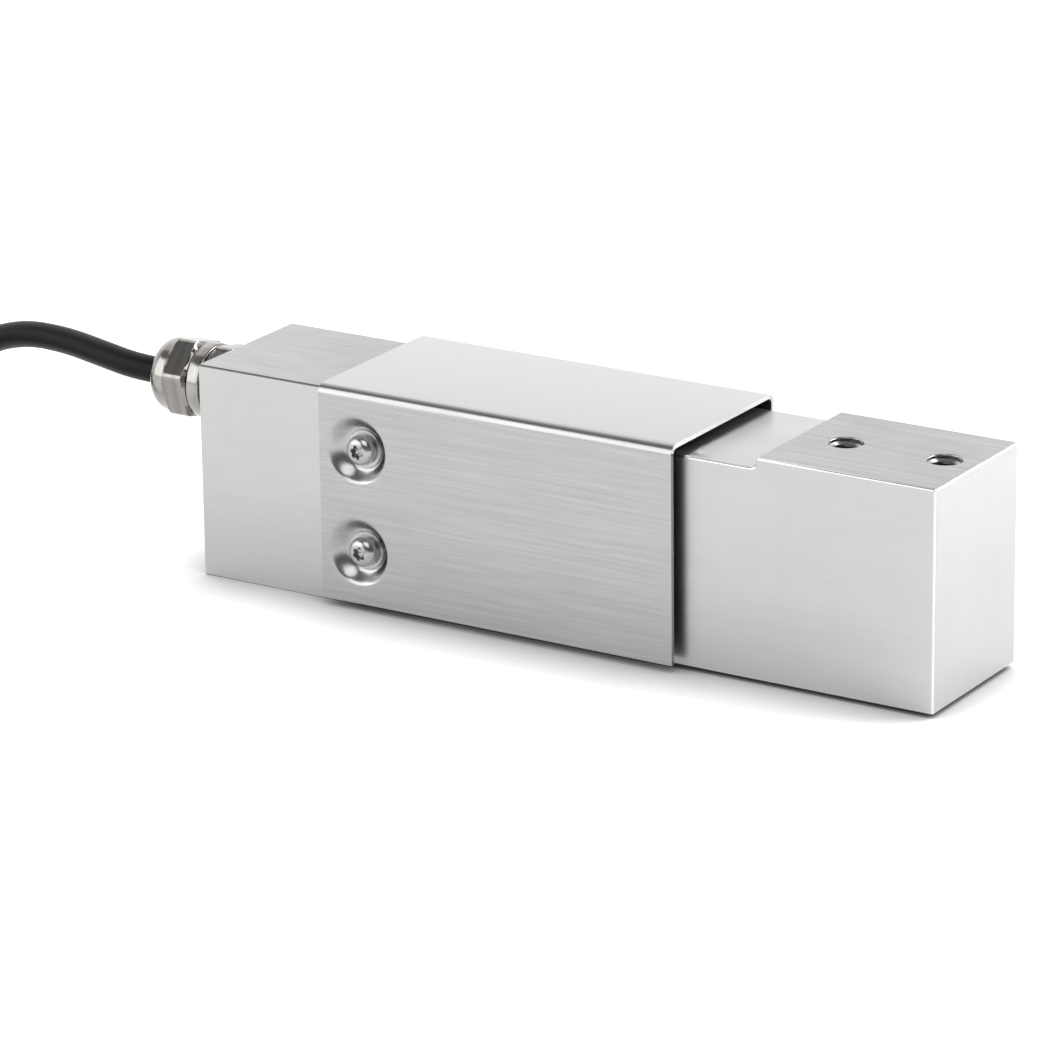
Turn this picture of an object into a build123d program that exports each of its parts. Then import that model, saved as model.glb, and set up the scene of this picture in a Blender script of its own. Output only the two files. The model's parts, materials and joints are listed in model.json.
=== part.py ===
from build123d import *

import os
from math import atan2, pi, radians, tan

# Single point load cell: a binocular aluminium measuring body with its fixed end at -X.
# A folded protective cover is screwed over the measuring section, and the signal
# cable leaves through a gland in the fixed end. Lengths are in millimetres. The origin
# is the centre of the footprint, with z = 0 at the fixed end's mounting pad.

os.makedirs("parts", exist_ok=True)

# Measuring body
body_length = 150.0
body_width = 30.0
fixed_height = 40.0
live_height = 41.0
upper_relief = 0.9
underside_relief = 0.8
base_pad_length = 34.0
live_pad_length = 34.5
riser_fillet = 1.2
riser_edge = 0.3
live_edge = 0.4
fixed_edge = 0.3

# Binocular opening, two bores joined by a slot
bore_diameter = 26.0
bore_spacing = 26.0
bore_offset = 20.0  # from the base pad's inner end to the first bore's centre
slot_height = 12.0

# Gauge pockets above and below the opening
pocket_margin = 1.0
pocket_length = 54.0
pocket_width = 20.0
pocket_depth = 1.6
pocket_corner = 3.0

# Mounting threads, M6, two at each end
thread_diameter = 6.0
thread_depth = 14.0
thread_mouth = 0.25
thread_spacing = 19.0
thread_edge_distance = 6.2

# Protective cover, folded from sheet
cover_sheet = 0.8
cover_side_gap = 2.0
cover_top_gap = 0.6
cover_bend = 1.5
cover_offset = 28.0  # from the fixed end face
cover_length = 72.5
cover_floor_gap = 1.5

# Screw dimples pressed into the cover
screw_offset = 8.5  # from the cover's fixed end edge
screw_height = 11.2
screw_rise = 19.0
dimple_floor = 7.6
dimple_rim = 11.6
dimple_blank = 14.0

# Cover screws, M3 pan head, and their washers
screw_diameter = 3.0
screw_reach = 5.0
screw_hole_depth = 6.5
screw_clearance = 0.05
screw_pass = 0.2
head_diameter = 5.6
head_height = 2.4
head_bevel = 0.9
recess_diameter = 2.7
recess_depth = 1.3
washer_diameter = 7.0
washer_thickness = 0.5

# Cable gland on the fixed end
gland_drop = 8.2  # axis below the fixed end's top
gland_flats = 14.0
gland_turn = 14.5  # one corner stands this many degrees above the near side
gland_thread = 12.0
gland_thread_length = 8.0
gland_clearance = 0.05
seal_diameter = 13.0
seal_thickness = 1.0
collar_diameter = 14.4
collar_length = 3.5
gland_hex_length = 4.2
nut_gap = 0.3
nut_hex_length = 4.6
nut_dome_length = 4.4
nut_chamfer = 0.6
nut_turned_diameter = 13.8
nut_shoulder = 2.4
nut_shoulder_diameter = 13.6
nut_tip_diameter = 9.0
nut_rim_diameter = 7.0
nut_rim_depth = 0.4
hex_bevel = 0.5
neck_diameter = 10.5
neck_length = 5.3
insert_seat_depth = 1.3
insert_diameter = 8.0
insert_length = 3.0
clamp_reach = 0.5  # past the neck, into the nut's cone

# Signal cable and the channel it lies in
cable_diameter = 5.0
cable_clearance = 0.2
channel_diameter = 6.0
channel_length = 39.0
jacket_reach = 29.0  # from the fixed end face into the body
duct_offset = 37.5  # wiring duct, from the fixed end face
duct_diameter = 4.4

# Gauges, terminal board and sealing compound in the pockets
gauge_length = 9.0
gauge_width = 6.0
gauge_thickness = 0.2
board_offset = 5.5  # from the pocket's end
board_length = 4.0
board_width = 12.0
board_thickness = 0.8
compound_offset = 10.5  # from the pocket's end
compound_thickness = 1.5
core_count = 4
inner_core_diameter = 0.9
inner_core_pitch = 1.05

# Hank of the cable's spare length, lying on the floor behind the fixed end
hank_gap = 77.5  # from the gland's tip to the hank
hank_shift = -4.5
hank_turns = (20.0, 15.0)  # centreline radii of its two columns
hank_straight = 52.0
hank_layers = 3
hank_bevel = 1.5
stub_margin = 0.4
stub_inset = 0.05

# Cable ties round the two limbs of the hank
tie_width = 3.6
tie_thickness = 1.2
tie_head = 5.0
tie_head_height = 3.6
tie_tail = 3.5

# Open end of the cable
sleeve_wall = 0.5
sleeve_length = 14.0
sleeve_overlap = 9.0
core_diameter = 1.3
core_reach = 17.0
ferrule_diameter = 1.7
ferrule_length = 6.0
drain_diameter = 0.8

# Places that follow from the sizes above
fixed_x = -body_length / 2
live_x = body_length / 2
side_y = body_width / 2
base_end = fixed_x + base_pad_length
live_start = live_x - live_pad_length
waist_height = fixed_height - upper_relief
bore_x = base_end + bore_offset
bore_z = (underside_relief + waist_height) / 2
pocket_start = base_end + pocket_margin
pocket_x = pocket_start + pocket_length / 2
pocket_floor = waist_height - pocket_depth
cover_start = fixed_x + cover_offset
cover_half_width = side_y + cover_side_gap + cover_sheet
cover_top = fixed_height + cover_top_gap + cover_sheet
screw_x = cover_start + screw_offset
gland_z = fixed_height - gland_drop
collar_x = fixed_x - seal_thickness
gland_hex_x = collar_x - collar_length
neck_x = gland_hex_x - gland_hex_length
nut_x = neck_x - nut_gap
tip_x = nut_x - nut_hex_length - nut_dome_length
neck_end_x = neck_x - neck_length
insert_x = neck_x - insert_seat_depth
clamp_x = insert_x - insert_length
cable_radius = cable_diameter / 2
gland_axis = Axis((0, 0, gland_z), (1, 0, 0))
gland_section = Plane(origin=(0, 0, gland_z), x_dir=(1, 0, 0), z_dir=(0, -1, 0))


def across(x, height):
    """Plane across the body at x, seen from the fixed end: its x axis is -Y, its y axis +Z."""
    return Plane(origin=(x, 0, height), x_dir=(0, -1, 0), z_dir=(-1, 0, 0))


def around_hexagon(x):
    """Return the area outside a gland nut's six flats, at x."""
    with BuildSketch(across(x, gland_z)) as area:
        Circle(gland_flats)
        RegularPolygon(
            gland_flats / 2,
            6,
            major_radius=False,
            rotation=gland_turn,
            mode=Mode.SUBTRACT,
        )
    return area.sketch


def save(piece, name):
    """Label a finished piece and write it to its own file."""
    piece.part.label = name
    export_step(piece.part, f"parts/{name}.step")


# Measuring body: side profile with the binocular opening, then its edges, threads and channels
with BuildPart() as spring_body:
    with BuildSketch(Plane.XZ) as profile:
        with BuildLine():
            Polyline(
                (fixed_x, 0),
                (base_end, 0),
                (base_end, underside_relief),
                (live_x, underside_relief),
                (live_x, live_height),
                (live_start, live_height),
                (live_start, waist_height),
                (base_end, waist_height),
                (base_end, fixed_height),
                (fixed_x, fixed_height),
                close=True,
            )
        make_face()
        foot = profile.vertices().sort_by_distance((live_start, waist_height))[0]
        fillet(foot, riser_fillet)
        riser = profile.vertices().sort_by_distance((live_start, live_height))[0]
        chamfer(riser, riser_edge)
        with Locations((bore_x, bore_z), (bore_x + bore_spacing, bore_z)):
            Circle(bore_diameter / 2, mode=Mode.SUBTRACT)
        with Locations((bore_x + bore_spacing / 2, bore_z)):
            Rectangle(bore_spacing, slot_height, mode=Mode.SUBTRACT)
    extrude(amount=side_y, both=True)

    live_end = spring_body.faces().sort_by(Axis.X)[-1]
    live_edges = (
        spring_body.faces()
        .filter_by(Axis.Y)
        .edges()
        .filter_by(lambda edge: edge.center().X > base_end + live_edge)
        .filter_by(lambda edge: abs(edge.center().Z - bore_z) > bore_diameter / 2)
    )
    chamfer(live_edges + live_end.edges(), live_edge)
    fixed_end = spring_body.faces().sort_by(Axis.X)[0]
    fixed_edges = (
        spring_body.edges()
        .filter_by(Axis.X)
        .filter_by(lambda edge: edge.center().X < base_end)
    )
    chamfer(fixed_edges + fixed_end.edges(), fixed_edge)

    for height, cut in ((waist_height, -pocket_depth), (underside_relief, pocket_depth)):
        with BuildSketch(Plane.XY.offset(height)):
            with Locations((pocket_x, 0)):
                RectangleRounded(pocket_length, pocket_width, pocket_corner)
        extrude(amount=cut, mode=Mode.SUBTRACT)

    outer_thread = thread_edge_distance
    inner_thread = thread_edge_distance + thread_spacing
    with Locations(
        (live_x - outer_thread, 0, live_height), (live_x - inner_thread, 0, live_height)
    ):
        CounterSinkHole(
            thread_diameter / 2,
            thread_diameter / 2 + thread_mouth,
            depth=thread_depth,
            counter_sink_angle=90,
        )
    with Locations(
        Plane(origin=(fixed_x + outer_thread, 0, 0), z_dir=(0, 0, -1)),
        Plane(origin=(fixed_x + inner_thread, 0, 0), z_dir=(0, 0, -1)),
    ):
        CounterSinkHole(
            thread_diameter / 2,
            thread_diameter / 2 + thread_mouth,
            depth=thread_depth,
            counter_sink_angle=90,
        )

    for side in (-1, 1):
        with Locations(
            Plane(origin=(screw_x, side * side_y, screw_height), z_dir=(0, side, 0)),
            Plane(
                origin=(screw_x, side * side_y, screw_height + screw_rise),
                z_dir=(0, side, 0),
            ),
        ):
            Hole(screw_diameter / 2 + screw_clearance, depth=screw_hole_depth)

    with Locations(across(fixed_x, gland_z)):
        Hole(gland_thread / 2, depth=gland_thread_length + 1)
        Hole(channel_diameter / 2, depth=channel_length)
    with Locations((fixed_x + duct_offset, 0, pocket_floor)):
        Hole(
            duct_diameter / 2, depth=pocket_floor - underside_relief - pocket_depth
        )
save(spring_body, "spring_body")


# Protective cover: a folded channel with four dimples that sit on the body
with BuildPart() as protective_cover:
    with BuildSketch(Plane.YZ.offset(cover_start)) as channel:
        with Locations((0, cover_top)):
            Rectangle(
                2 * cover_half_width,
                cover_top - cover_floor_gap,
                align=(Align.CENTER, Align.MAX),
            )
        fillet(channel.vertices().group_by(Axis.Y)[-1], cover_bend)
        with Locations((0, cover_top - cover_sheet)):
            Rectangle(
                2 * (cover_half_width - cover_sheet),
                cover_top,
                align=(Align.CENTER, Align.MAX),
                mode=Mode.SUBTRACT,
            )
        inner_top = cover_top - cover_sheet
        inner_corners = channel.vertices().filter_by(
            lambda corner: abs(corner.Y - inner_top) < cover_sheet / 9
        )
        fillet(inner_corners, cover_bend - cover_sheet)
    extrude(amount=cover_length)
    with BuildSketch(Plane.XZ):
        with Locations((screw_x, screw_height), (screw_x, screw_height + screw_rise)):
            Circle(dimple_blank / 2)
    extrude(amount=cover_half_width + 1, both=True, mode=Mode.SUBTRACT)
    hole_edge = screw_x + screw_diameter / 2 + screw_pass
    floor_edge = screw_x + dimple_floor / 2
    rim_edge = screw_x + dimple_rim / 2
    blank_edge = screw_x + dimple_blank / 2
    wall_angle = atan2(cover_side_gap, rim_edge - floor_edge)
    wall_shift = cover_sheet * tan(wall_angle / 2)
    for side in (-1, 1):
        for height in (screw_height, screw_height + screw_rise):
            with BuildSketch(Plane.XY.offset(height)):
                with BuildLine():
                    Polyline(
                        (hole_edge, side * side_y),
                        (floor_edge + wall_shift, side * side_y),
                        (rim_edge + wall_shift, side * (cover_half_width - cover_sheet)),
                        (blank_edge, side * (cover_half_width - cover_sheet)),
                        (blank_edge, side * cover_half_width),
                        (rim_edge, side * cover_half_width),
                        (floor_edge, side * (side_y + cover_sheet)),
                        (hole_edge, side * (side_y + cover_sheet)),
                        close=True,
                    )
                make_face()
            revolve(axis=Axis((screw_x, 0, height), (0, 1, 0)))
save(protective_cover, "protective_cover")


# Cover screws and washers, two on each side
screw_seats = [
    Plane(origin=(screw_x, side * side_y, height), z_dir=(0, side, 0))
    for side in (-1, 1)
    for height in (screw_height, screw_height + screw_rise)
]
for number, seat in enumerate(screw_seats, start=1):
    with BuildPart() as washer:
        with BuildSketch(seat.offset(cover_sheet)):
            Circle(washer_diameter / 2)
            Circle(screw_diameter / 2 + screw_pass, mode=Mode.SUBTRACT)
        extrude(amount=washer_thickness)
    save(washer, f"cover_washer_{number}")

    head_seat = cover_sheet + washer_thickness
    with BuildPart() as screw:
        with BuildSketch(seat.offset(head_seat)):
            Circle(head_diameter / 2)
        extrude(amount=head_height)
        crown = screw.faces().sort_by(Axis(seat.origin, seat.z_dir))[-1]
        chamfer(crown.edges(), head_bevel)
        with BuildSketch(seat.offset(head_seat)):
            Circle(screw_diameter / 2)
        extrude(amount=-head_seat - screw_reach)
        with BuildSketch(seat.offset(head_seat + head_height)):
            RegularPolygon(recess_diameter / 2, 6)
        extrude(amount=-recess_depth, mode=Mode.SUBTRACT)
    save(screw, f"cover_screw_{number}")


# Cable gland: seal ring, body, rubber insert, clamping ring and domed cap nut
with BuildPart() as gland_seal:
    with BuildSketch(across(fixed_x, gland_z)):
        Circle(seal_diameter / 2)
        Circle(gland_thread / 2, mode=Mode.SUBTRACT)
    extrude(amount=seal_thickness)
save(gland_seal, "gland_seal")

shank_radius = gland_thread / 2 - gland_clearance
corner_radius = gland_flats / 3**0.5
insert_seat = insert_diameter / 2
with BuildPart() as gland_body:
    with BuildSketch(gland_section):
        with BuildLine():
            Polyline(
                (fixed_x + gland_thread_length, channel_diameter / 2),
                (fixed_x + gland_thread_length, shank_radius),
                (collar_x, shank_radius),
                (collar_x, collar_diameter / 2 - hex_bevel),
                (collar_x - hex_bevel, collar_diameter / 2),
                (gland_hex_x, collar_diameter / 2),
                (gland_hex_x, corner_radius - hex_bevel),
                (gland_hex_x - hex_bevel, corner_radius),
                (neck_x + hex_bevel, corner_radius),
                (neck_x, corner_radius - hex_bevel),
                (neck_x, neck_diameter / 2),
                (neck_end_x, neck_diameter / 2),
                (neck_end_x, insert_seat),
                (insert_x, insert_seat),
                (insert_x, channel_diameter / 2),
                close=True,
            )
        make_face()
    revolve(axis=gland_axis)
    extrude(
        around_hexagon(gland_hex_x), amount=gland_hex_length, mode=Mode.SUBTRACT
    )
save(gland_body, "gland_body")

with BuildPart() as gland_insert:
    with BuildSketch(across(insert_x, gland_z)):
        Circle(insert_seat)
        Circle(cable_radius, mode=Mode.SUBTRACT)
    extrude(amount=insert_length)
save(gland_insert, "gland_insert")

with BuildPart() as gland_clamp:
    with BuildSketch(across(clamp_x, gland_z)):
        Circle(insert_seat - gland_clearance)
        Circle(cable_radius + gland_clearance, mode=Mode.SUBTRACT)
    extrude(amount=clamp_x - neck_end_x + clamp_reach)
save(gland_clamp, "gland_clamp")

nut_bore = neck_diameter / 2 + gland_clearance
nut_cone_x = neck_end_x - gland_clearance
dome_x = nut_x - nut_hex_length
exit_radius = cable_radius + cable_clearance
with BuildPart() as gland_cap_nut:
    with BuildSketch(gland_section):
        with BuildLine():
            Polyline(
                (dome_x, corner_radius),
                (dome_x - nut_chamfer, nut_turned_diameter / 2),
                (dome_x - nut_shoulder, nut_shoulder_diameter / 2),
                (tip_x, nut_tip_diameter / 2),
                (tip_x, nut_rim_diameter / 2),
                (tip_x + nut_rim_depth, nut_rim_diameter / 2),
                (tip_x + nut_rim_depth, exit_radius),
                (tip_x + nut_dome_length / 2, exit_radius),
                (nut_cone_x, nut_bore),
                (nut_x, nut_bore),
                (nut_x, corner_radius - hex_bevel),
                (nut_x - hex_bevel, corner_radius),
                close=True,
            )
        make_face()
    revolve(axis=gland_axis)
    extrude(
        around_hexagon(nut_x),
        amount=nut_hex_length + nut_dome_length,
        mode=Mode.SUBTRACT,
    )
save(gland_cap_nut, "gland_cap_nut")


# Strain gauges on the pocket floors, over and under the two bores
gauge_faces = (
    ("upper", pocket_floor, gauge_thickness),
    ("lower", underside_relief + pocket_depth, -gauge_thickness),
)
for level, height, rise in gauge_faces:
    for name, x in (("fixed", bore_x), ("live", bore_x + bore_spacing)):
        with BuildPart() as gauge:
            with BuildSketch(Plane.XY.offset(height)):
                with Locations((x, 0)):
                    Rectangle(gauge_length, gauge_width)
            extrude(amount=rise)
        save(gauge, f"strain_gauge_{level}_{name}")

    # Sealing compound over the gauges of this pocket
    with BuildPart() as compound:
        with BuildSketch(Plane.XY.offset(height)):
            with Locations((pocket_x, 0)):
                RectangleRounded(pocket_length, pocket_width, pocket_corner)
            with Locations((pocket_start, 0)):
                Rectangle(2 * compound_offset, body_width, mode=Mode.SUBTRACT)
        extrude(amount=compound_thickness * rise / gauge_thickness)
        with BuildSketch(Plane.XY.offset(height)):
            with Locations((bore_x, 0), (bore_x + bore_spacing, 0)):
                Rectangle(gauge_length, gauge_width)
        extrude(amount=rise, mode=Mode.SUBTRACT)
    save(compound, f"sealing_compound_{level}")

board_x = pocket_start + board_offset
board_top = pocket_floor + board_thickness
with BuildPart() as terminal_board:
    with BuildSketch(Plane.XY.offset(pocket_floor)):
        with Locations((board_x + board_length / 2, 0)):
            Rectangle(board_length, board_width)
    extrude(amount=board_thickness)
save(terminal_board, "terminal_board")


# Inner end of the cable and its cores, up the wiring duct to the terminal board
jacket_end = fixed_x + jacket_reach
with BuildPart() as cable_inner_end:
    with BuildSketch(across(jacket_end, gland_z)):
        Circle(cable_radius)
    extrude(amount=jacket_end - tip_x)
save(cable_inner_end, "cable_inner_end")

core_top = board_top + inner_core_diameter / 2
for number in range(1, core_count + 1):
    core_y = (number - (core_count + 1) / 2) * inner_core_pitch
    with BuildPart() as inner_core:
        with BuildLine():
            Polyline(
                (jacket_end, core_y, gland_z),
                (fixed_x + duct_offset, core_y, gland_z),
                (fixed_x + duct_offset, core_y, core_top),
                (board_x + board_length - inner_core_diameter, core_y, core_top),
            )
        with BuildSketch(Plane(origin=(jacket_end, core_y, gland_z), z_dir=(1, 0, 0))):
            RegularPolygon(inner_core_diameter / 2, 8)
        sweep(transition=Transition.RIGHT)
    save(inner_core, f"inner_core_{number}")


# Hank: the spare length folded into an oval of two columns and three layers
hank_radius = max(hank_turns) + cable_radius
hank_inner_radius = min(hank_turns) - cable_radius
hank_height = hank_layers * cable_diameter
hank_x = tip_x - hank_gap - hank_radius - hank_straight / 2
fold_x = hank_x + hank_straight / 2
inside_edge = max(hank_turns) - cable_radius
hank_stub = (hank_radius**2 - inside_edge**2) ** 0.5 + stub_margin
stub_x = fold_x + hank_stub
lead_y = hank_shift + max(hank_turns)
lead_z = tie_thickness + hank_height - cable_radius
tail_y = hank_shift - max(hank_turns)
tail_z = tie_thickness + hank_height / 2
with BuildPart() as cable_hank:
    with BuildSketch(Plane.XY.offset(tie_thickness)):
        with Locations((hank_x, hank_shift)):
            SlotCenterToCenter(hank_straight, 2 * hank_radius)
            SlotCenterToCenter(
                hank_straight, 2 * hank_inner_radius, mode=Mode.SUBTRACT
            )
    extrude(amount=hank_height)
    rims = cable_hank.faces().filter_by(Axis.Z).edges()
    chamfer(rims, hank_bevel)
    for y, height in ((lead_y, lead_z), (tail_y, tail_z)):
        with BuildSketch(Plane(origin=(stub_x, y, height), z_dir=(-1, 0, 0))):
            Circle(cable_radius - stub_inset)
        extrude(amount=hank_stub + cable_diameter)
save(cable_hank, "cable_hank")

limb_width = hank_radius - hank_inner_radius
limb_offset = (hank_radius + hank_inner_radius) / 2
for number, side in enumerate((-1, 1), start=1):
    limb = Plane(
        origin=(hank_x - tie_width / 2, hank_shift + side * limb_offset, tie_thickness),
        x_dir=(0, 1, 0),
        z_dir=(1, 0, 0),
    )
    with BuildPart() as cable_tie:
        with BuildSketch(limb):
            with Locations((0, hank_height / 2)):
                RectangleRounded(
                    limb_width + 2 * tie_thickness,
                    hank_height + 2 * tie_thickness,
                    hank_bevel + tie_thickness,
                )
                RectangleRounded(
                    limb_width, hank_height, hank_bevel, mode=Mode.SUBTRACT
                )
        extrude(amount=tie_width)
        top = tie_thickness + hank_height
        with BuildSketch(Plane.XY.offset(top + tie_thickness / 2)):
            with Locations((hank_x, hank_shift + side * limb_offset)):
                RectangleRounded(tie_head, tie_head, 0.8)
        extrude(amount=tie_head_height)
        with BuildSketch(Plane.XY.offset(top + tie_head_height)):
            with Locations((hank_x, hank_shift + side * limb_offset)):
                Rectangle(tie_width, tie_thickness)
        extrude(amount=tie_tail)
    save(cable_tie, f"cable_tie_{number}")


# Cable from the gland to the hank: points chosen by hand, as offsets from the gland's tip
lead_route = [
    (0.0, 0.0, gland_z),
    (-6.5, 0.0, gland_z),
    (-15.5, 1.9, 32.4),
    (-26.5, 4.8, 32.8),
    (-37.5, 6.8, 32.1),
    (-48.5, 8.8, 28.2),
    (-58.0, 11.1, 20.6),
    (-68.0, 13.6, 15.6),
]
lead_points = [(tip_x + x, y, z) for x, y, z in lead_route]
lead_points += [(stub_x + 8.0, lead_y, lead_z), (stub_x, lead_y, lead_z)]
tail_route = [
    (0.0, 0.0, tail_z),
    (7.0, 0.0, tail_z),
    (16.0, -1.0, 7.0),
    (26.0, -2.2, 4.9),
    (35.0, -3.2, 4.3),
]
tail_points = [(stub_x + x, tail_y + y, z) for x, y, z in tail_route]


def arc_radii(points):
    """Return one radius per corner, as large as the corner's two runs allow."""
    corners = [Vector(point) for point in points]
    radii = []
    for before, corner, after in zip(corners, corners[1:], corners[2:]):
        into, out = corner - before, after - corner
        turn = into.get_angle(out)
        radii.append(0.45 * min(into.length, out.length) / tan(radians(turn / 2)))
    return radii


for name, points in (("signal_cable", lead_points), ("cable_tail", tail_points)):
    radii = arc_radii(points)
    print(name, "arc radii", [round(radius, 1) for radius in radii])
    with BuildPart() as cable:
        with BuildLine() as route:
            FilletPolyline(*points, radius=radii)
        with BuildSketch(Plane(origin=points[0], z_dir=route.line % 0)):
            Circle(cable_radius)
        sweep()
    length = route.wire().length
    filled = cable.part.volume / (pi * cable_radius**2)
    print(name, "length", round(length, 2), "volume over section", round(filled, 2))
    save(cable, name)


# Open end of the cable: shrink sleeve, four cores with ferrules, and the shield drain
end_point, before_end = Vector(tail_points[-1]), Vector(tail_points[-2])
way_out = (end_point - before_end).normalized()
sleeve_start = end_point - way_out * sleeve_overlap
sleeve_end = sleeve_start + way_out * sleeve_length
with BuildPart() as end_sleeve:
    with BuildSketch(Plane(origin=sleeve_start, z_dir=way_out)):
        Circle(cable_radius + sleeve_wall)
        Circle(cable_radius, mode=Mode.SUBTRACT)
    extrude(amount=sleeve_length)
save(end_sleeve, "end_sleeve")

mouth = Plane(origin=end_point, x_dir=(0, 0, 1), z_dir=way_out)
with BuildPart() as shield_drain:
    with BuildSketch(mouth):
        Circle(drain_diameter / 2)
    extrude(amount=core_reach)
save(shield_drain, "shield_drain")

core_names = ("red", "black", "green", "white")
core_circle = cable_radius - core_diameter / 2 - 0.4
for number, colour in enumerate(core_names):
    turn = Rotation(0, 0, 45 + 90 * number)
    start = mouth.location * turn * Location((core_circle, 0, 0))
    place = Plane(origin=start.position, z_dir=way_out)
    with BuildPart() as core:
        with BuildSketch(place):
            Circle(core_diameter / 2)
        extrude(amount=core_reach)
    save(core, f"core_{colour}")
    with BuildPart() as ferrule:
        with BuildSketch(place.offset(core_reach)):
            Circle(ferrule_diameter / 2)
        extrude(amount=ferrule_length)
    save(ferrule, f"ferrule_{colour}")
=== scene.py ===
"""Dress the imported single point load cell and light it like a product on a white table.

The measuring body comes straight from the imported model. The folded cover, its screws
and washers, the cable gland, the cable and its ties are modelled here in finer detail
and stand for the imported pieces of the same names. All lengths are in metres.
"""

from __future__ import annotations

import json
import logging
import math
from collections.abc import Iterable, Mapping, Sequence
from dataclasses import dataclass
from enum import Enum

import bmesh
import bpy
from bmesh.types import BMEdge, BMFace, BMVert, BMesh
from bpy.types import Material, Mesh, MeshPolygon, NodeSocket, Object, ShaderNode, ShaderNodeTree
from mathutils import Matrix, Vector

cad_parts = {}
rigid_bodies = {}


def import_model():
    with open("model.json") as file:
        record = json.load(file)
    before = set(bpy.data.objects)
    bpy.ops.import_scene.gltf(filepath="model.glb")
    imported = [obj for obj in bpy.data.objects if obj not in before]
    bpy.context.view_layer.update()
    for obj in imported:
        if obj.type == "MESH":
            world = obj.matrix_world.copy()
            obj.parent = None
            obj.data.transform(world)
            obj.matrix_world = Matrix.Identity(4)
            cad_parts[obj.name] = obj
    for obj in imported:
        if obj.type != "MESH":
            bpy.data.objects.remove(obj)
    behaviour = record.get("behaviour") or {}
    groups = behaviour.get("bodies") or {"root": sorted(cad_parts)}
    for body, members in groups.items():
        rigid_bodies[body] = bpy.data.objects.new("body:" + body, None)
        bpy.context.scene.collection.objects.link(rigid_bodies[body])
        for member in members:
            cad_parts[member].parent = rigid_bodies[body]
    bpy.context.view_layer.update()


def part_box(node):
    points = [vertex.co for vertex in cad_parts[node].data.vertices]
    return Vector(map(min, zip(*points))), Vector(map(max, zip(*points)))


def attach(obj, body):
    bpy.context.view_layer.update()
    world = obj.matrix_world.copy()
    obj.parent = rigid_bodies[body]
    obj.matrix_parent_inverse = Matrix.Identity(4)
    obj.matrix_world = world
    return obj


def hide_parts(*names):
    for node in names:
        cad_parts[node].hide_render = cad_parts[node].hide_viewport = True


log = logging.getLogger("load_cell")

MM = 0.001
ROOT = "root"
Colour = tuple[float, float, float]
Outline = Sequence[tuple[float, float]]


class Grain(Enum):
    """Direction that a surface was brushed, rolled or milled in, as stretches along X, Y and Z."""

    ALONG_X = (0.022, 1.0, 1.0)
    AROUND_X = (1.0, 0.06, 0.06)
    EVEN = (1.0, 1.0, 1.0)


class Surface(Enum):
    """The body's kinds of face, in the order of its material slots, with their finishes."""

    SIDE = "milled_aluminium"
    # Edge chamfers: smoother than the faces, and coloured lighter than the sides as a painted highlight
    # line.
    EDGE = "burnished_edge_painted_highlight"
    # Flat tops: coarser streaks and smudges, on a colour a little darker than the sides, painted shade
    # that tones down their bright reflection.
    TOP = "milled_top_painted_shade"
    # The fixed end's sloped top chamfers: near-black, a painted dark line that stands in for the shade
    # seen in the edge rounding.
    PAINTED_DARK_EDGE = "painted_dark_edge"
    # Walls of the tapped holes: coloured darker than the sides, painted shade in the holes.
    HOLE = "tapped_hole_painted_shade"
    # The sunk waist by the cover's end: coloured lighter than the sides, painted light that lifts the
    # cover's shade.
    WAIST = "milled_waist_painted_light"


def arc(
    centre: tuple[float, float], radius: float, start: float, end: float, steps: int
) -> list[tuple[float, float]]:
    """Points on a circular arc of an outline.

    Args:
        centre: The arc's centre as (radius, height).
        radius: The arc's radius.
        start: Its first angle in degrees, from the outline's first axis.
        end: Its last angle in degrees.
        steps: Number of equal steps between them.

    Returns:
        The points from start to end, both included.
    """
    angles = [math.radians(start + (end - start) * i / steps) for i in range(steps + 1)]
    return [
        (centre[0] + radius * math.cos(a), centre[1] + radius * math.sin(a))
        for a in angles
    ]


def sweep(
    bm: BMesh,
    geom: Sequence[BMVert | BMEdge | BMFace],
    steps: int,
    angle: float = 2 * math.pi,
    centre: Sequence[float] = (0, 0, 0),
    axis: Sequence[float] = (0, 0, 1),
    rise: float = 0.0,
    merge: bool = False,
) -> list:
    """Sweep geometry round an axis.

    Args:
        bm: The bmesh that holds it.
        geom: The geometry at the first step.
        steps: Number of equal steps.
        angle: Angle in radians from the first to the last.
        centre: A point on the axis.
        axis: Its direction.
        rise: Height gained at each step.
        merge: Whether the last step is joined to the first.

    Returns:
        The geometry at the last step.
    """
    swept = bmesh.ops.spin(
        bm,
        geom=geom,
        cent=centre,
        axis=axis,
        dvec=(0, 0, rise),
        angle=angle,
        steps=steps,
        use_merge=merge,
        use_normal_flip=False,
        use_duplicate=False,
    )
    return swept["geom_last"]


def spun(outline: Outline, segments: int) -> BMesh:
    """Spin an outline of (radius, height) points about +Z.

    Args:
        outline: Points from one end of the outline to the other. Ends off the axis are joined.
        segments: Faces round the circle.

    Returns:
        A new bmesh whose faces point outwards.
    """
    bm = bmesh.new()
    verts = [bm.verts.new((r, 0.0, z)) for r, z in outline]
    edges = [bm.edges.new(pair) for pair in zip(verts, verts[1:])]
    if outline[0][0] > 0 and outline[-1][0] > 0:
        edges.append(bm.edges.new((verts[-1], verts[0])))
    sweep(bm, verts + edges, segments, merge=True)
    bmesh.ops.remove_doubles(bm, verts=bm.verts[:], dist=1e-7)
    bmesh.ops.recalc_face_normals(bm, faces=bm.faces[:])
    return bm


def seat_frame(origin: Vector, outward: Vector, up: Vector) -> Matrix:
    """Matrix that stands a spun shape's +Z along outward, with its +X along up.

    Args:
        origin: Where the shape's own origin goes.
        outward: Direction of its axis.
        up: Direction of its first radius, square to outward.

    Returns:
        The 4 x 4 placement.
    """
    z = outward.normalized()
    x = up.normalized()
    y = z.cross(x)
    frame = Matrix((x, y, z)).transposed().to_4x4()
    frame.translation = origin
    return frame


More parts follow.
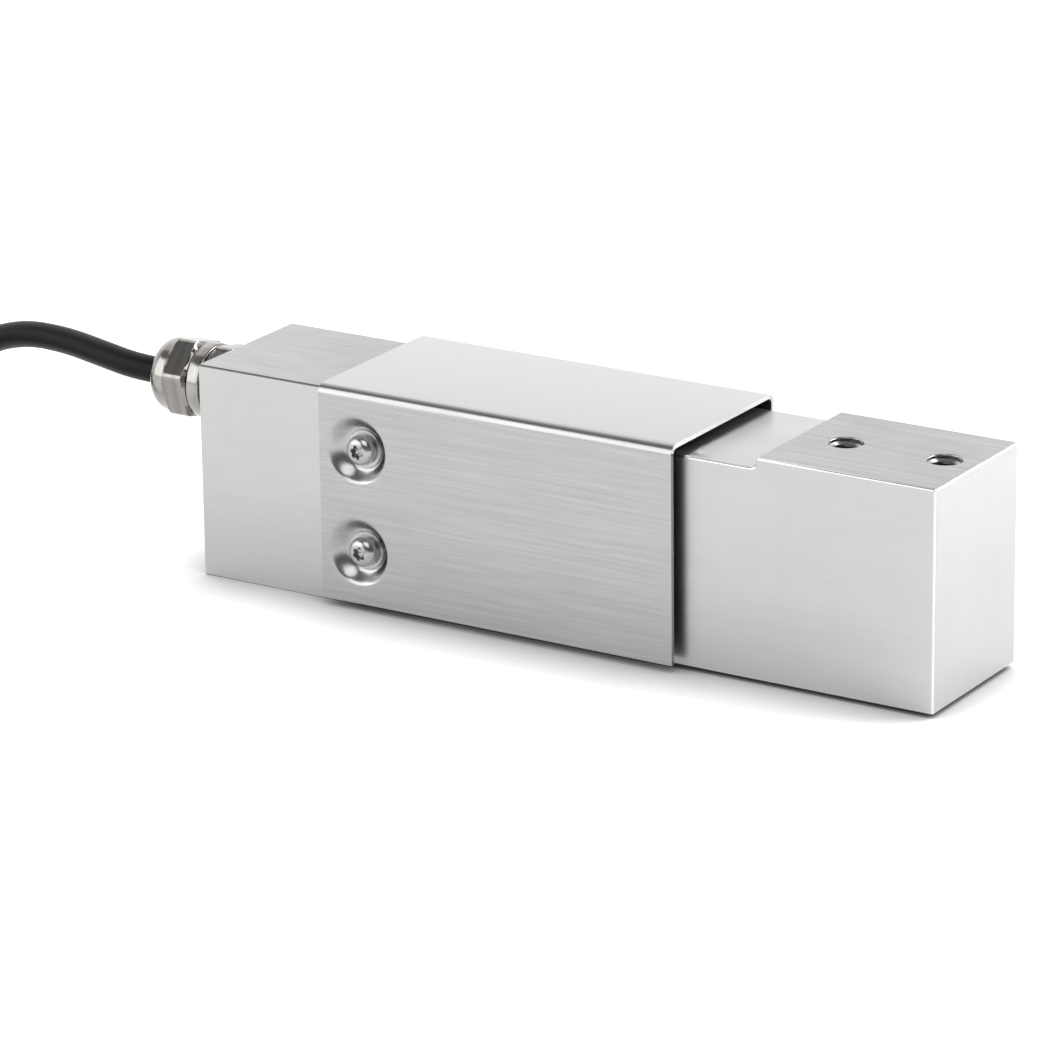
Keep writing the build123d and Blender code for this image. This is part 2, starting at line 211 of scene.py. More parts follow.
def finish_piece(
    bm: BMesh,
    name: str,
    material: Material,
    node: str | None = None,
    sharp: float = 30.0,
) -> Object:
    """Turn a bmesh into a named piece that rides on the cell.

    Args:
        bm: The finished shape, freed here.
        name: Name of the new object.
        material: Its material.
        node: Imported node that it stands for, if any.
        sharp: Angle in degrees past which an edge is drawn sharp.

    Returns:
        The new object.
    """
    mesh = bpy.data.meshes.new(name)
    bm.to_mesh(mesh)
    bm.free()
    mesh.materials.append(material)
    mesh.shade_smooth()
    mesh.set_sharp_from_angle(angle=math.radians(sharp))
    piece = bpy.data.objects.new(name, mesh)
    bpy.context.scene.collection.objects.link(piece)
    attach(piece, ROOT)
    if node is not None:
        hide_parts(node)
    log.info("%s: %d faces", name, len(mesh.polygons))
    return piece


def map_across_grain(mesh: Mesh) -> None:
    """Give a mesh a map whose first axis runs across a grain along X.

    Args:
        mesh: The mesh, with each face's own normal deciding its second direction.
    """
    layer = mesh.uv_layers.new(name="across_grain")
    for polygon in mesh.polygons:
        normal = polygon.normal
        across = Vector((0.0, -normal.z, normal.y))
        if across.length < 0.1:
            across = Vector((0.0, 1.0, 0.0))
        for corner in polygon.loop_indices:
            place = mesh.vertices[mesh.loops[corner].vertex_index].co
            layer.data[corner].uv = (place.dot(across), place.x)


def soften(piece: Object, width: float, angle: float, segments: int = 2) -> None:
    """Round a piece's sharp edges with a bevel modifier.

    Args:
        piece: The piece.
        width: Width of the rounding.
        angle: Only edges sharper than this many degrees are rounded.
        segments: Faces across the rounding.
    """
    bevel = piece.modifiers.new("edge", "BEVEL")
    bevel.width = width
    bevel.segments = segments
    bevel.limit_method = "ANGLE"
    bevel.angle_limit = math.radians(angle)
    bevel.profile = 0.5
    bevel.harden_normals = True


def start_material(name: str) -> tuple[Material, ShaderNodeTree, ShaderNode]:
    """Make a material with nodes.

    Args:
        name: Its name.

    Returns:
        The material, its node tree and its main shader.
    """
    material = bpy.data.materials.new(name)
    material.use_nodes = True
    return material, material.node_tree, material.node_tree.nodes["Principled BSDF"]


def add_node(
    tree: ShaderNodeTree,
    kind: str,
    values: Mapping[str | int, float | Sequence[float]] | None = None,
    links: Mapping[str | int, NodeSocket] | None = None,
) -> ShaderNode:
    """Add a shader node with constants and links on its inputs.

    Args:
        tree: The tree that it goes in.
        kind: Its type.
        values: Constants by input.
        links: The sockets that feed inputs, by input.

    Returns:
        The node.
    """
    node = tree.nodes.new(kind)
    for label, value in (values or {}).items():
        node.inputs[label].default_value = value
    for label, socket in (links or {}).items():
        tree.links.new(socket, node.inputs[label])
    return node


def add_math(
    tree: ShaderNodeTree, operation: str, *terms: float | NodeSocket
) -> ShaderNode:
    """Add a sum, product or other operation on numbers.

    Args:
        tree: The tree that it goes in.
        operation: The operation.
        terms: Its terms, as numbers or as the sockets that feed them.

    Returns:
        The node, whose only output is the result.
    """
    node = tree.nodes.new("ShaderNodeMath")
    node.operation = operation
    for term, socket in zip(terms, node.inputs):
        if isinstance(term, float):
            socket.default_value = term
        else:
            tree.links.new(term, socket)
    return node


def mix_colours(
    tree: ShaderNodeTree,
    factor: NodeSocket,
    first: Colour | NodeSocket,
    second: Colour,
    blend: str = "MIX",
) -> NodeSocket:
    """Mix two colours.

    Args:
        tree: The tree that the mix goes in.
        factor: What feeds the share of the second colour.
        first: The colour at 0, or the socket that feeds it.
        second: The colour at 1.
        blend: How the second one is laid over the first.

    Returns:
        The mixed colour.
    """
    mix = tree.nodes.new("ShaderNodeMix")
    mix.data_type = "RGBA"
    mix.blend_type = blend
    if isinstance(first, NodeSocket):
        tree.links.new(first, mix.inputs["A"])
    else:
        mix.inputs["A"].default_value = (*first, 1.0)
    mix.inputs["B"].default_value = (*second, 1.0)
    tree.links.new(factor, mix.inputs["Factor"])
    return mix.outputs["Result"]


class Effects:
    """Shader node groups that several finishes share."""

    def __init__(self) -> None:
        """Build each group once."""
        self.grain = self._grain_group()
        self.smudge = self._smudge_group()
        self.dimples = self._dimple_group()

    @staticmethod
    def _new_group(name: str, values: Iterable[tuple[str, float]]) -> ShaderNodeTree:
        """Make an empty group with a Vector input and named numbers.

        Args:
            name: The group's name.
            values: Name and default of each number.

        Returns:
            The group, with its input and output nodes in place.
        """
        tree = bpy.data.node_groups.new(name, "ShaderNodeTree")
        tree.interface.new_socket("Vector", in_out="INPUT", socket_type="NodeSocketVector")
        for label, default in values:
            item = tree.interface.new_socket(
                label, in_out="INPUT", socket_type="NodeSocketFloat"
            )
            item.default_value = default
        tree.nodes.new("NodeGroupInput").name = "in"
        tree.nodes.new("NodeGroupOutput").name = "out"
        return tree

    @staticmethod
    def _add_output(tree: ShaderNodeTree, label: str, socket: NodeSocket) -> None:
        """Give a group a number output.

        Args:
            tree: The group.
            label: Name of the output.
            socket: The socket that feeds it.
        """
        tree.interface.new_socket(label, in_out="OUTPUT", socket_type="NodeSocketFloat")
        tree.links.new(socket, tree.nodes["out"].inputs[label])

    @staticmethod
    def _noise(
        tree: ShaderNodeTree, scale: str, detail: float, roughness: float, distortion: float
    ) -> NodeSocket:
        """Add a noise over the group's Vector.

        Args:
            tree: The group.
            scale: Name of the group's input that sets the noise's scale.
            detail: Number of finer layers.
            roughness: Strength of each finer layer.
            distortion: How far the noise is stirred.

        Returns:
            The noise, from 0 to 1.
        """
        source = tree.nodes["in"].outputs
        values = {"Detail": detail, "Roughness": roughness, "Distortion": distortion}
        links = {"Vector": source["Vector"], "Scale": source[scale]}
        return add_node(tree, "ShaderNodeTexNoise", values, links).outputs["Fac"]

    def _grain_group(self) -> ShaderNodeTree:
        """Fine parallel scratches, with a broader streak over them.

        Returns:
            A group with Height and Streak outputs, both from 0 to 1.
        """
        tree = self._new_group("brushed_grain", (("Scale", 9000.0), ("Streak Scale", 900.0)))
        fine = self._noise(tree, "Scale", 3.0, 0.7, 0.0)
        broad = self._noise(tree, "Streak Scale", 4.0, 0.65, 0.0)
        reach = {"From Min": 0.3, "From Max": 0.7}
        spread = add_node(tree, "ShaderNodeMapRange", reach, {"Value": broad})
        self._add_output(tree, "Height", fine)
        self._add_output(tree, "Streak", spread.outputs["Result"])
        return tree

    def _smudge_group(self) -> ShaderNodeTree:
        """Soft uneven patches, as handling and wiping leave them.

        Returns:
            A group with a Mask output from 0 to 1.
        """
        tree = self._new_group("handling_smudge", (("Scale", 70.0), ("Contrast", 1.6)))
        cloud = self._noise(tree, "Scale", 5.0, 0.62, 0.6)
        centred = add_math(tree, "SUBTRACT", cloud, 0.5)
        contrast = tree.nodes["in"].outputs["Contrast"]
        stretched = add_math(tree, "MULTIPLY_ADD", centred.outputs[0], contrast, 0.5)
        stretched.use_clamp = True
        self._add_output(tree, "Mask", stretched.outputs[0])
        return tree

    def _dimple_group(self) -> ShaderNodeTree:
        """The faint orange-peel of moulded plastic, rubber and etched metal.

        Returns:
            A group with a Height output from 0 to 1.
        """
        tree = self._new_group("fine_dimples", (("Scale", 5000.0),))
        source = tree.nodes["in"].outputs
        links = {label: source[label] for label in ("Vector", "Scale")}
        cells = add_node(tree, "ShaderNodeTexVoronoi", links=links)
        cells.feature = "SMOOTH_F1"
        self._add_output(tree, "Height", cells.outputs["Distance"])
        return tree


@dataclass(frozen=True)
class Finish:
    """What every finish has: a name, a colour and a roughness."""

    name: str
    colour: Colour
    roughness: float

    def _shades(self, share: float) -> tuple[Colour, Colour]:
        """Make a darker and a lighter shade of the colour.

        Args:
            share: How far they are from it, as a share of it.

        Returns:
            The darker shade and the lighter one.
        """
        darker = tuple(c * (1.0 - share) for c in self.colour)
        return darker, tuple(min(1.0, c * (1.0 + share)) for c in self.colour)

    def _add_group(
        self,
        tree: ShaderNodeTree,
        group: ShaderNodeTree,
        place: NodeSocket,
        **values: float,
    ) -> ShaderNode:
        """Use a shared node group.

        Args:
            tree: The material's tree.
            group: The group.
            place: The socket that feeds its Vector.
            values: Its numbers, with _ for a space in their names.

        Returns:
            The group's node.
        """
        node = tree.nodes.new("ShaderNodeGroup")
        node.node_tree = group
        for label, value in values.items():
            node.inputs[label.replace("_", " ")].default_value = value
        tree.links.new(place, node.inputs["Vector"])
        return node

    def _surface(
        self,
        tree: ShaderNodeTree,
        shader: ShaderNode,
        mask: NodeSocket,
        rougher: float,
        height: NodeSocket,
        relief: float,
    ) -> None:
        """Roughen the surface under a mask and give it a fine relief.

        Args:
            tree: The material's tree.
            shader: Its shader.
            mask: The mask.
            rougher: Roughness where the mask is 1.
            height: The relief's height from 0 to 1.
            relief: Its real height at 1.
        """
        limits = {"To Min": self.roughness, "To Max": rougher}
        rough = add_node(tree, "ShaderNodeMapRange", limits, {"Value": mask})
        tree.links.new(rough.outputs["Result"], shader.inputs["Roughness"])
        bump = add_node(tree, "ShaderNodeBump", {"Distance": relief}, {"Height": height})
        tree.links.new(bump.outputs["Normal"], shader.inputs["Normal"])


@dataclass(frozen=True)
class MetalFinish(Finish):
    """A bare or plated metal with a grain, smudges and a colour of its own."""

    grain: Grain
    grain_scale: float = 9000.0
    streak_scale: float = 900.0
    relief: float = 0.0000010
    streak_shade: float = 0.06
    smudge_roughness: float = 0.06
    smudge_shade: float = 0.04
    stretch_along_uv: float = 0.0

    def build(self, effects: Effects) -> Material:
        """Make the material.

        Args:
            effects: The shared node groups.

        Returns:
            The finished material.
        """
        material, tree, shader = start_material(self.name)
        shader.inputs["Metallic"].default_value = 1.0
        place = add_node(tree, "ShaderNodeTexCoord").outputs["Object"]
        stretch = add_node(tree, "ShaderNodeMapping", {"Scale": self.grain.value}, {"Vector": place})
        grain = self._add_group(
            tree,
            effects.grain,
            stretch.outputs["Vector"],
            Scale=self.grain_scale,
            Streak_Scale=self.streak_scale,
        )
        smudge = self._add_group(tree, effects.smudge, place).outputs["Mask"]
        streaked = mix_colours(tree, grain.outputs["Streak"], *self._shades(self.streak_shade))
        darkened = (1.0 - self.smudge_shade,) * 3
        smudged = mix_colours(tree, smudge, streaked, darkened, "MULTIPLY")
        tree.links.new(smudged, shader.inputs["Base Color"])
        rougher = self.roughness + self.smudge_roughness
        self._surface(tree, shader, smudge, rougher, grain.outputs["Height"], self.relief)
        if self.stretch_along_uv:
            shader.inputs["Anisotropic"].default_value = self.stretch_along_uv
            tangent = tree.nodes.new("ShaderNodeTangent")
            tangent.direction_type = "UV_MAP"
            tangent.uv_map = "across_grain"
            tree.links.new(tangent.outputs["Tangent"], shader.inputs["Tangent"])
        return material


@dataclass(frozen=True)
class MouldedFinish(Finish):
    """Rubber, plastic, silicone or film: a plain colour under fine dimples and smudges."""

    dimple_scale: float = 5000.0
    relief: float = 0.000004
    shade: float = 0.12
    gloss: float = 0.5
    smudge_scale: float = 140.0
    smudge_roughness: float = 0.08

    def build(self, effects: Effects) -> Material:
        """Make the material.

        Args:
            effects: The shared node groups.

        Returns:
            The finished material.
        """
        material, tree, shader = start_material(self.name)
        shader.inputs["Specular IOR Level"].default_value = self.gloss
        place = add_node(tree, "ShaderNodeTexCoord").outputs["Object"]
        smudge = self._add_group(tree, effects.smudge, place, Scale=self.smudge_scale)
        mask = smudge.outputs["Mask"]
        shade = mix_colours(tree, mask, *self._shades(self.shade))
        tree.links.new(shade, shader.inputs["Base Color"])
        dimples = self._add_group(tree, effects.dimples, place, Scale=self.dimple_scale)
        rougher = min(1.0, self.roughness + self.smudge_roughness)
        self._surface(tree, shader, mask, rougher, dimples.outputs["Height"], self.relief)
        return material


@dataclass
class MeasuringBody:
    """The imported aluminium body: its finishes, and the ridges of its four mounting threads."""

    finishes: dict[Surface, Material]
    thread_radius: float = 3.0 * MM
    thread_pitch: float = 1.0 * MM
    thread_core: float = 2.5 * MM
    thread_turns: int = 12
    edge_distance: float = 6.2 * MM
    spacing: float = 19.0 * MM
    mouth: float = 0.1 * MM
    steps_per_turn: int = 40
    pad_rise: float = 1.9 * MM
    cover_start: float = -30.0 * MM
    rim: float = 0.5 * MM
    hole_zone: float = 0.45 * MM
    ridge_share: float = 0.94
    crest_share: float = 0.16
    sharp_edge: float = 50.0
    flat_angle: float = 0.3

    def dress(self) -> None:
        """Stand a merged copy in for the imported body, its small chamfers shaded as rounded edges."""
        node = bpy.data.objects["spring_body"]
        bm = bmesh.new()
        bm.from_mesh(node.data)
        bmesh.ops.transform(bm, matrix=node.matrix_world, verts=bm.verts[:])
        bmesh.ops.remove_doubles(bm, verts=bm.verts[:], dist=1e-6)
        bmesh.ops.dissolve_degenerate(bm, dist=1e-6, edges=bm.edges[:])
        flat = math.radians(self.flat_angle)
        bmesh.ops.dissolve_limit(bm, angle_limit=flat, verts=bm.verts[:], edges=bm.edges[:])
        side = self.finishes[Surface.SIDE]
        body = finish_piece(
            bm, "milled_body", side, "spring_body", sharp=self.sharp_edge
        )
        shading = body.modifiers.new("flat_faces", "WEIGHTED_NORMAL")
        shading.keep_sharp = True
        shading.weight = 100
        graph = bpy.context.evaluated_depsgraph_get()
        body.data = bpy.data.meshes.new_from_object(body.evaluated_get(graph))
        body.modifiers.clear()
        kinds = list(Surface)
        for kind in kinds[1:]:
            body.data.materials.append(self.finishes[kind])
        low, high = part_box("spring_body")
        for polygon in body.data.polygons:
            polygon.material_index = kinds.index(self._kind(polygon, low, high))

    def _kind(self, face: MeshPolygon, low: Vector, high: Vector) -> Surface:
        """Tell what kind of face a face of the body is.

        Args:
            face: The face.
            low: Lowest corner of the body.
            high: Its highest corner.

        Returns:
            The kind.
        """
        spot, normal = face.center, face.normal
        middle, half = (low + high) / 2, (high - low) / 2
        aside = spot - middle
        skewed = max(abs(axis) for axis in normal) < 0.9
        # Chamfers get a colour lighter than the sides, a painted highlight, apart from the dark ones
        # below.
        if skewed and (abs(aside.y) > half.y - self.rim or abs(aside.x) > half.x - self.rim):
            # The fixed end's sloped top chamfers get a near-black finish: a painted dark line standing in
            # for shade.
            darkened = spot.x < self.cover_start and normal.z > 0.3 and abs(normal.y) > 0.3
            return Surface.PAINTED_DARK_EDGE if darkened else Surface.EDGE
        # Upward faces get the top finish, coloured a little darker than the sides as painted shade.
        if normal.z > 0.95:
            sunk = middle.z < spot.z < high.z - self.pad_rise / 2
            # The sunk waist by the cover gets a lighter colour: painted light against the cover's shade.
            return Surface.WAIST if sunk and spot.x > self.cover_start else Surface.TOP
        # Faces inside the tapped holes get a darker colour: painted shade in the recess.
        return Surface.HOLE if self._in_hole(spot, low, high) else Surface.SIDE

    def _in_hole(self, spot: Vector, low: Vector, high: Vector) -> bool:
        """Tell whether a point lies on the wall of one of the four tapped holes.

        Args:
            spot: The point.
            low: Lowest corner of the body.
            high: Its highest corner.

        Returns:
            Whether it does.
        """
        from_end = min(high.x - spot.x, spot.x - low.x) - self.edge_distance
        across = min(math.hypot(from_end - reach, spot.y) for reach in (0.0, self.spacing))
        return across < self.thread_radius + self.hole_zone and low.z < spot.z < high.z

    def _ridge(self, mouth: Vector, inward: float) -> BMesh:
        """Make one helical thread ridge.

        Args:
            mouth: Centre of the hole's mouth.
            inward: 1 where the hole runs up from its mouth, -1 where it runs down.

        Returns:
            The closed ridge, in place.
        """
        bm = bmesh.new()
        half = self.thread_pitch * self.ridge_share / 2
        crest = self.thread_pitch * self.crest_share / 2
        wall = self.thread_radius + 0.02 * MM
        corners = ((wall, -half), (self.thread_core, -crest), (self.thread_core, crest), (wall, half))
        verts = [bm.verts.new((r, 0.0, z)) for r, z in corners]
        first = bm.faces.new(verts)
        steps = self.thread_turns * self.steps_per_turn
        rise = self.thread_pitch / self.steps_per_turn
        sweep(bm, [first], steps, 2 * math.pi * self.thread_turns, rise=rise)
        bmesh.ops.recalc_face_normals(bm, faces=bm.faces[:])
        if inward < 0:
            flip = Matrix.Rotation(math.pi, 4, "X")
            bmesh.ops.transform(bm, matrix=flip, verts=bm.verts[:])
        shift = Vector((0, 0, inward * (self.mouth + half)))
        bmesh.ops.translate(bm, verts=bm.verts[:], vec=mouth + shift)
        return bm

    def build_threads(self) -> None:
        """Cut the look of M6 threads into the platform's and the base's holes."""
        low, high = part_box("spring_body")
        places = {
            "platform_thread": (high.x, -1.0, high.z),
            "base_thread": (low.x, 1.0, low.z),
        }
        for label, (end, inward, height) in places.items():
            for number in (1, 2):
                reach = self.edge_distance + (number - 1) * self.spacing
                x = end - math.copysign(reach, end)
                bm = self._ridge(Vector((x, 0.0, height)), inward)
                # The ridges take the holes' darker colour, painted shade.
                metal = self.finishes[Surface.HOLE]
                name = f"{label}_{number}"
                finish_piece(bm, name, metal, sharp=self.sharp_edge)


@dataclass
class ProtectiveCover:
    """The folded sheet cover with its four pressed dimples."""

    finish: Material
    painted_light_top_finish: Material
    sheet: float = 0.8 * MM
    bend: float = 1.9 * MM
    bend_steps: int = 12
    dimple_floor: float = 3.7 * MM
    dimple_depth: float = 2.0 * MM
    dimple_hole: float = 1.7 * MM
    dimple_rim: float = 6.4 * MM
    dimple_lean: float = 0.7 * MM
    blank: float = 7.1 * MM
    wall_steps: int = 16
    segments: int = 64
    edge: float = 0.12 * MM

    def _dimple_outline(self) -> list[tuple[float, float]]:
        """Section of a dimple's outer skin, from its blank's edge to its hole.

        Returns:
            Points as (radius, height), with the plate's outer face at height 0.
        """
        width = self.dimple_rim - self.dimple_floor
        wall = []
        for step in range(self.wall_steps + 1):
            part = step / self.wall_steps
            drop = part * part * (3 - 2 * part)
            wall.append((self.dimple_rim - part * width, -self.dimple_depth * drop))
        return [(self.blank, 0.0), *wall, (self.dimple_hole, -self.dimple_depth)]

    def _add_dimple(self, bm: BMesh, x: float, y: float, z: float) -> list:
        """Add a dimple's skin to the near plate.

        Args:
            bm: The cover's bmesh.
            x: Place of the dimple along the cell.
            y: The plate's outer face.
            z: Height of the dimple.

        Returns:
            The edges of the dimple's outer circle.
        """
        outline = self._dimple_outline()
        verts = [bm.verts.new((r, 0.0, h)) for r, h in outline]
        edges = [bm.edges.new(pair) for pair in zip(verts, verts[1:])]
        before = set(bm.verts) - set(verts)
        sweep(bm, verts + edges, self.segments, merge=True)
        fresh = [v for v in bm.verts if v not in before]
        bmesh.ops.remove_doubles(bm, verts=fresh, dist=1e-7)
        fresh = [v for v in bm.verts if v not in before]
        rim = [v for v in fresh if abs(Vector(v.co.xy).length - self.blank) < 0.01 * MM]
        width = self.dimple_rim - self.dimple_floor
        for vert in fresh:
            reach = (Vector(vert.co.xy).length - self.dimple_floor) / width
            vert.co.x -= self.dimple_lean * min(1.0, max(0.0, reach))
        frame = seat_frame(Vector((x, y, z)), Vector((0, -1, 0)), Vector((1, 0, 0)))
        bmesh.ops.transform(bm, matrix=frame, verts=fresh)
        ring = set(rim)
        return list({e for v in rim for e in v.link_edges if e.other_vert(v) in ring})

    def build(self) -> Object:
        """Model the cover from its near plate, fold and half top, mirrored to the far side.

        Returns:
            The cover.
        """
        low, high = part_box("protective_cover")
        bm = bmesh.new()
        fold_z = high.z - self.bend
        corners = ((low.x, low.z), (high.x, low.z), (high.x, fold_z), (low.x, fold_z))
        verts = [bm.verts.new((x, low.y, z)) for x, z in corners]
        border = [bm.edges.new(pair) for pair in zip(verts, verts[1:] + verts[:1])]
        circles = [edge for x, z in near_washers() for edge in self._add_dimple(bm, x, low.y, z)]
        bmesh.ops.triangle_fill(bm, edges=border + circles, use_beauty=True)
        centre = (0, low.y + self.bend, fold_z)
        fold = [border[2], *verts[2:]]
        swept = sweep(bm, fold, self.bend_steps, -math.pi / 2, centre=centre, axis=(1, 0, 0))
        last = [e for e in swept if isinstance(e, BMEdge)]
        grown = bmesh.ops.extrude_edge_only(bm, edges=last)
        for vert in (v for v in grown["geom"] if isinstance(v, BMVert)):
            vert.co.y = 0.0
        bmesh.ops.mirror(
            bm,
            geom=bm.verts[:] + bm.edges[:] + bm.faces[:],
            matrix=Matrix.Identity(4),
            merge_dist=1e-6,
            axis="Y",
        )
        bmesh.ops.remove_doubles(bm, verts=bm.verts[:], dist=1e-7)
        bmesh.ops.recalc_face_normals(bm, faces=bm.faces[:])
        top_face = max(bm.faces, key=lambda f: f.calc_center_median().z)
        if top_face.normal.z < 0:
            bmesh.ops.reverse_faces(bm, faces=bm.faces[:])
        cover = finish_piece(
            bm, "folded_cover", self.finish, "protective_cover", sharp=40.0
        )
        map_across_grain(cover.data)
        cover.data.materials.append(self.painted_light_top_finish)
        # Upward faces take the top finish, whose colour is painted lighter than the sides' as light.
        for polygon in cover.data.polygons:
            if polygon.normal.z > 0.9:
                polygon.material_index = 1
        wall = cover.modifiers.new("sheet", "SOLIDIFY")
        wall.thickness = self.sheet
        wall.offset = -1.0
        wall.use_even_offset = True
        soften(cover, self.edge, 60.0)
        return cover


def near_washers() -> list[tuple[float, float]]:
    """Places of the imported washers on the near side.

    Returns:
        Each washer's place along the cell and its height, lowest first.
    """
    places = []
    for number in range(1, 5):
        low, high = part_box(f"cover_washer_{number}")
        if low.y + high.y < 0:
            places.append((round((low.x + high.x) / 2, 6), round((low.z + high.z) / 2, 6)))
    return sorted(places, key=lambda place: place[1])


@dataclass
class CoverFasteners:
    """The four pan head screws with their lobed recesses, and the washers under them."""

    screw_finish: Material
    washer_finish: Material
    rim_height: float = 0.75 * MM
    recess_wall: float = 1.12 * MM
    recess_lobe: float = 0.2 * MM
    recess_depth: float = 1.2 * MM
    shank: float = 1.5 * MM
    washer_bore: float = 1.62 * MM
    chamfer: float = 0.08 * MM
    recess_turn: float = 0.4
    segments: int = 72

    def _screw_outline(self, head: float, height: float, length: float) -> list[tuple[float, float]]:
        """Section of a screw from its recess to its tip.

        Args:
            head: Radius of the head.
            height: Height of the head.
            length: Length of the shank.

        Returns:
            Points as (radius, height), with the underside of the head at height 0.
        """
        floor = height - self.recess_depth
        recess = [(0.0, floor - 0.15 * MM), (0.55 * MM, floor), (self.recess_wall, floor + 0.1 * MM)]
        mouth = [(self.recess_wall, height - 0.1 * MM), (self.recess_wall + 0.08 * MM, height)]
        round_radius = height - self.rim_height
        flat = head - round_radius
        crown = arc((flat, self.rim_height), round_radius, 88, 0, 8)
        under = [(head, 0.1 * MM), (head - 0.1 * MM, 0.0)]
        shank = [(self.shank, 0.0), (self.shank, -length), (0.0, -length)]
        return [*recess, *mouth, *crown, *under, *shank]

    def _shape_recess(self, bm: BMesh) -> None:
        """Pull the recess wall into six rounded lobes.

        Args:
            bm: The screw.
        """
        reach = self.recess_wall + 0.12 * MM
        for vert in bm.verts:
            radius = Vector(vert.co.xy).length
            if vert.co.z <= 0 or not 0.5 * MM < radius < reach:
                continue
            angle = math.atan2(vert.co.y, vert.co.x)
            wave = self.recess_lobe * math.cos(6 * angle) * (radius / self.recess_wall)
            vert.co.xy = Vector(vert.co.xy) * (radius + wave) / radius

    def build(self) -> None:
        """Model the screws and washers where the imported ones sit."""
        for number in range(1, 5):
            low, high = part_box(f"cover_washer_{number}")
            sign = math.copysign(1.0, low.y)
            outward = Vector((0, sign, 0))
            seat = Vector(((low.x + high.x) / 2, 0, (low.z + high.z) / 2))
            inner = min(abs(low.y), abs(high.y))
            thick = high.y - low.y
            radius = (high.x - low.x) / 2
            ring = [
                (self.washer_bore, 0.0),
                (radius - self.chamfer, 0.0),
                (radius, self.chamfer),
                (radius, thick - self.chamfer),
                (radius - self.chamfer, thick),
                (self.washer_bore, thick),
            ]
            bm = spun(ring, self.segments)
            frame = seat_frame(seat + outward * inner, outward, Vector((1, 0, 0)))
            bmesh.ops.transform(bm, matrix=frame, verts=bm.verts[:])
            finish_piece(
                bm, f"washer_{number}", self.washer_finish, f"cover_washer_{number}"
            )

            low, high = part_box(f"cover_screw_{number}")
            tip = min(abs(low.y), abs(high.y))
            top = max(abs(low.y), abs(high.y))
            base = inner + thick
            head = (high.x - low.x) / 2
            bm = spun(self._screw_outline(head, top - base, base - tip), self.segments)
            self._shape_recess(bm)
            turn = self.recess_turn * number
            up = Vector((math.cos(turn), 0, math.sin(turn)))
            frame = seat_frame(seat + outward * base, outward, up)
            bmesh.ops.transform(bm, matrix=frame, verts=bm.verts[:])
            finish_piece(
                bm,
                f"pan_screw_{number}",
                self.screw_finish,
                f"cover_screw_{number}",
                sharp=35.0,
            )


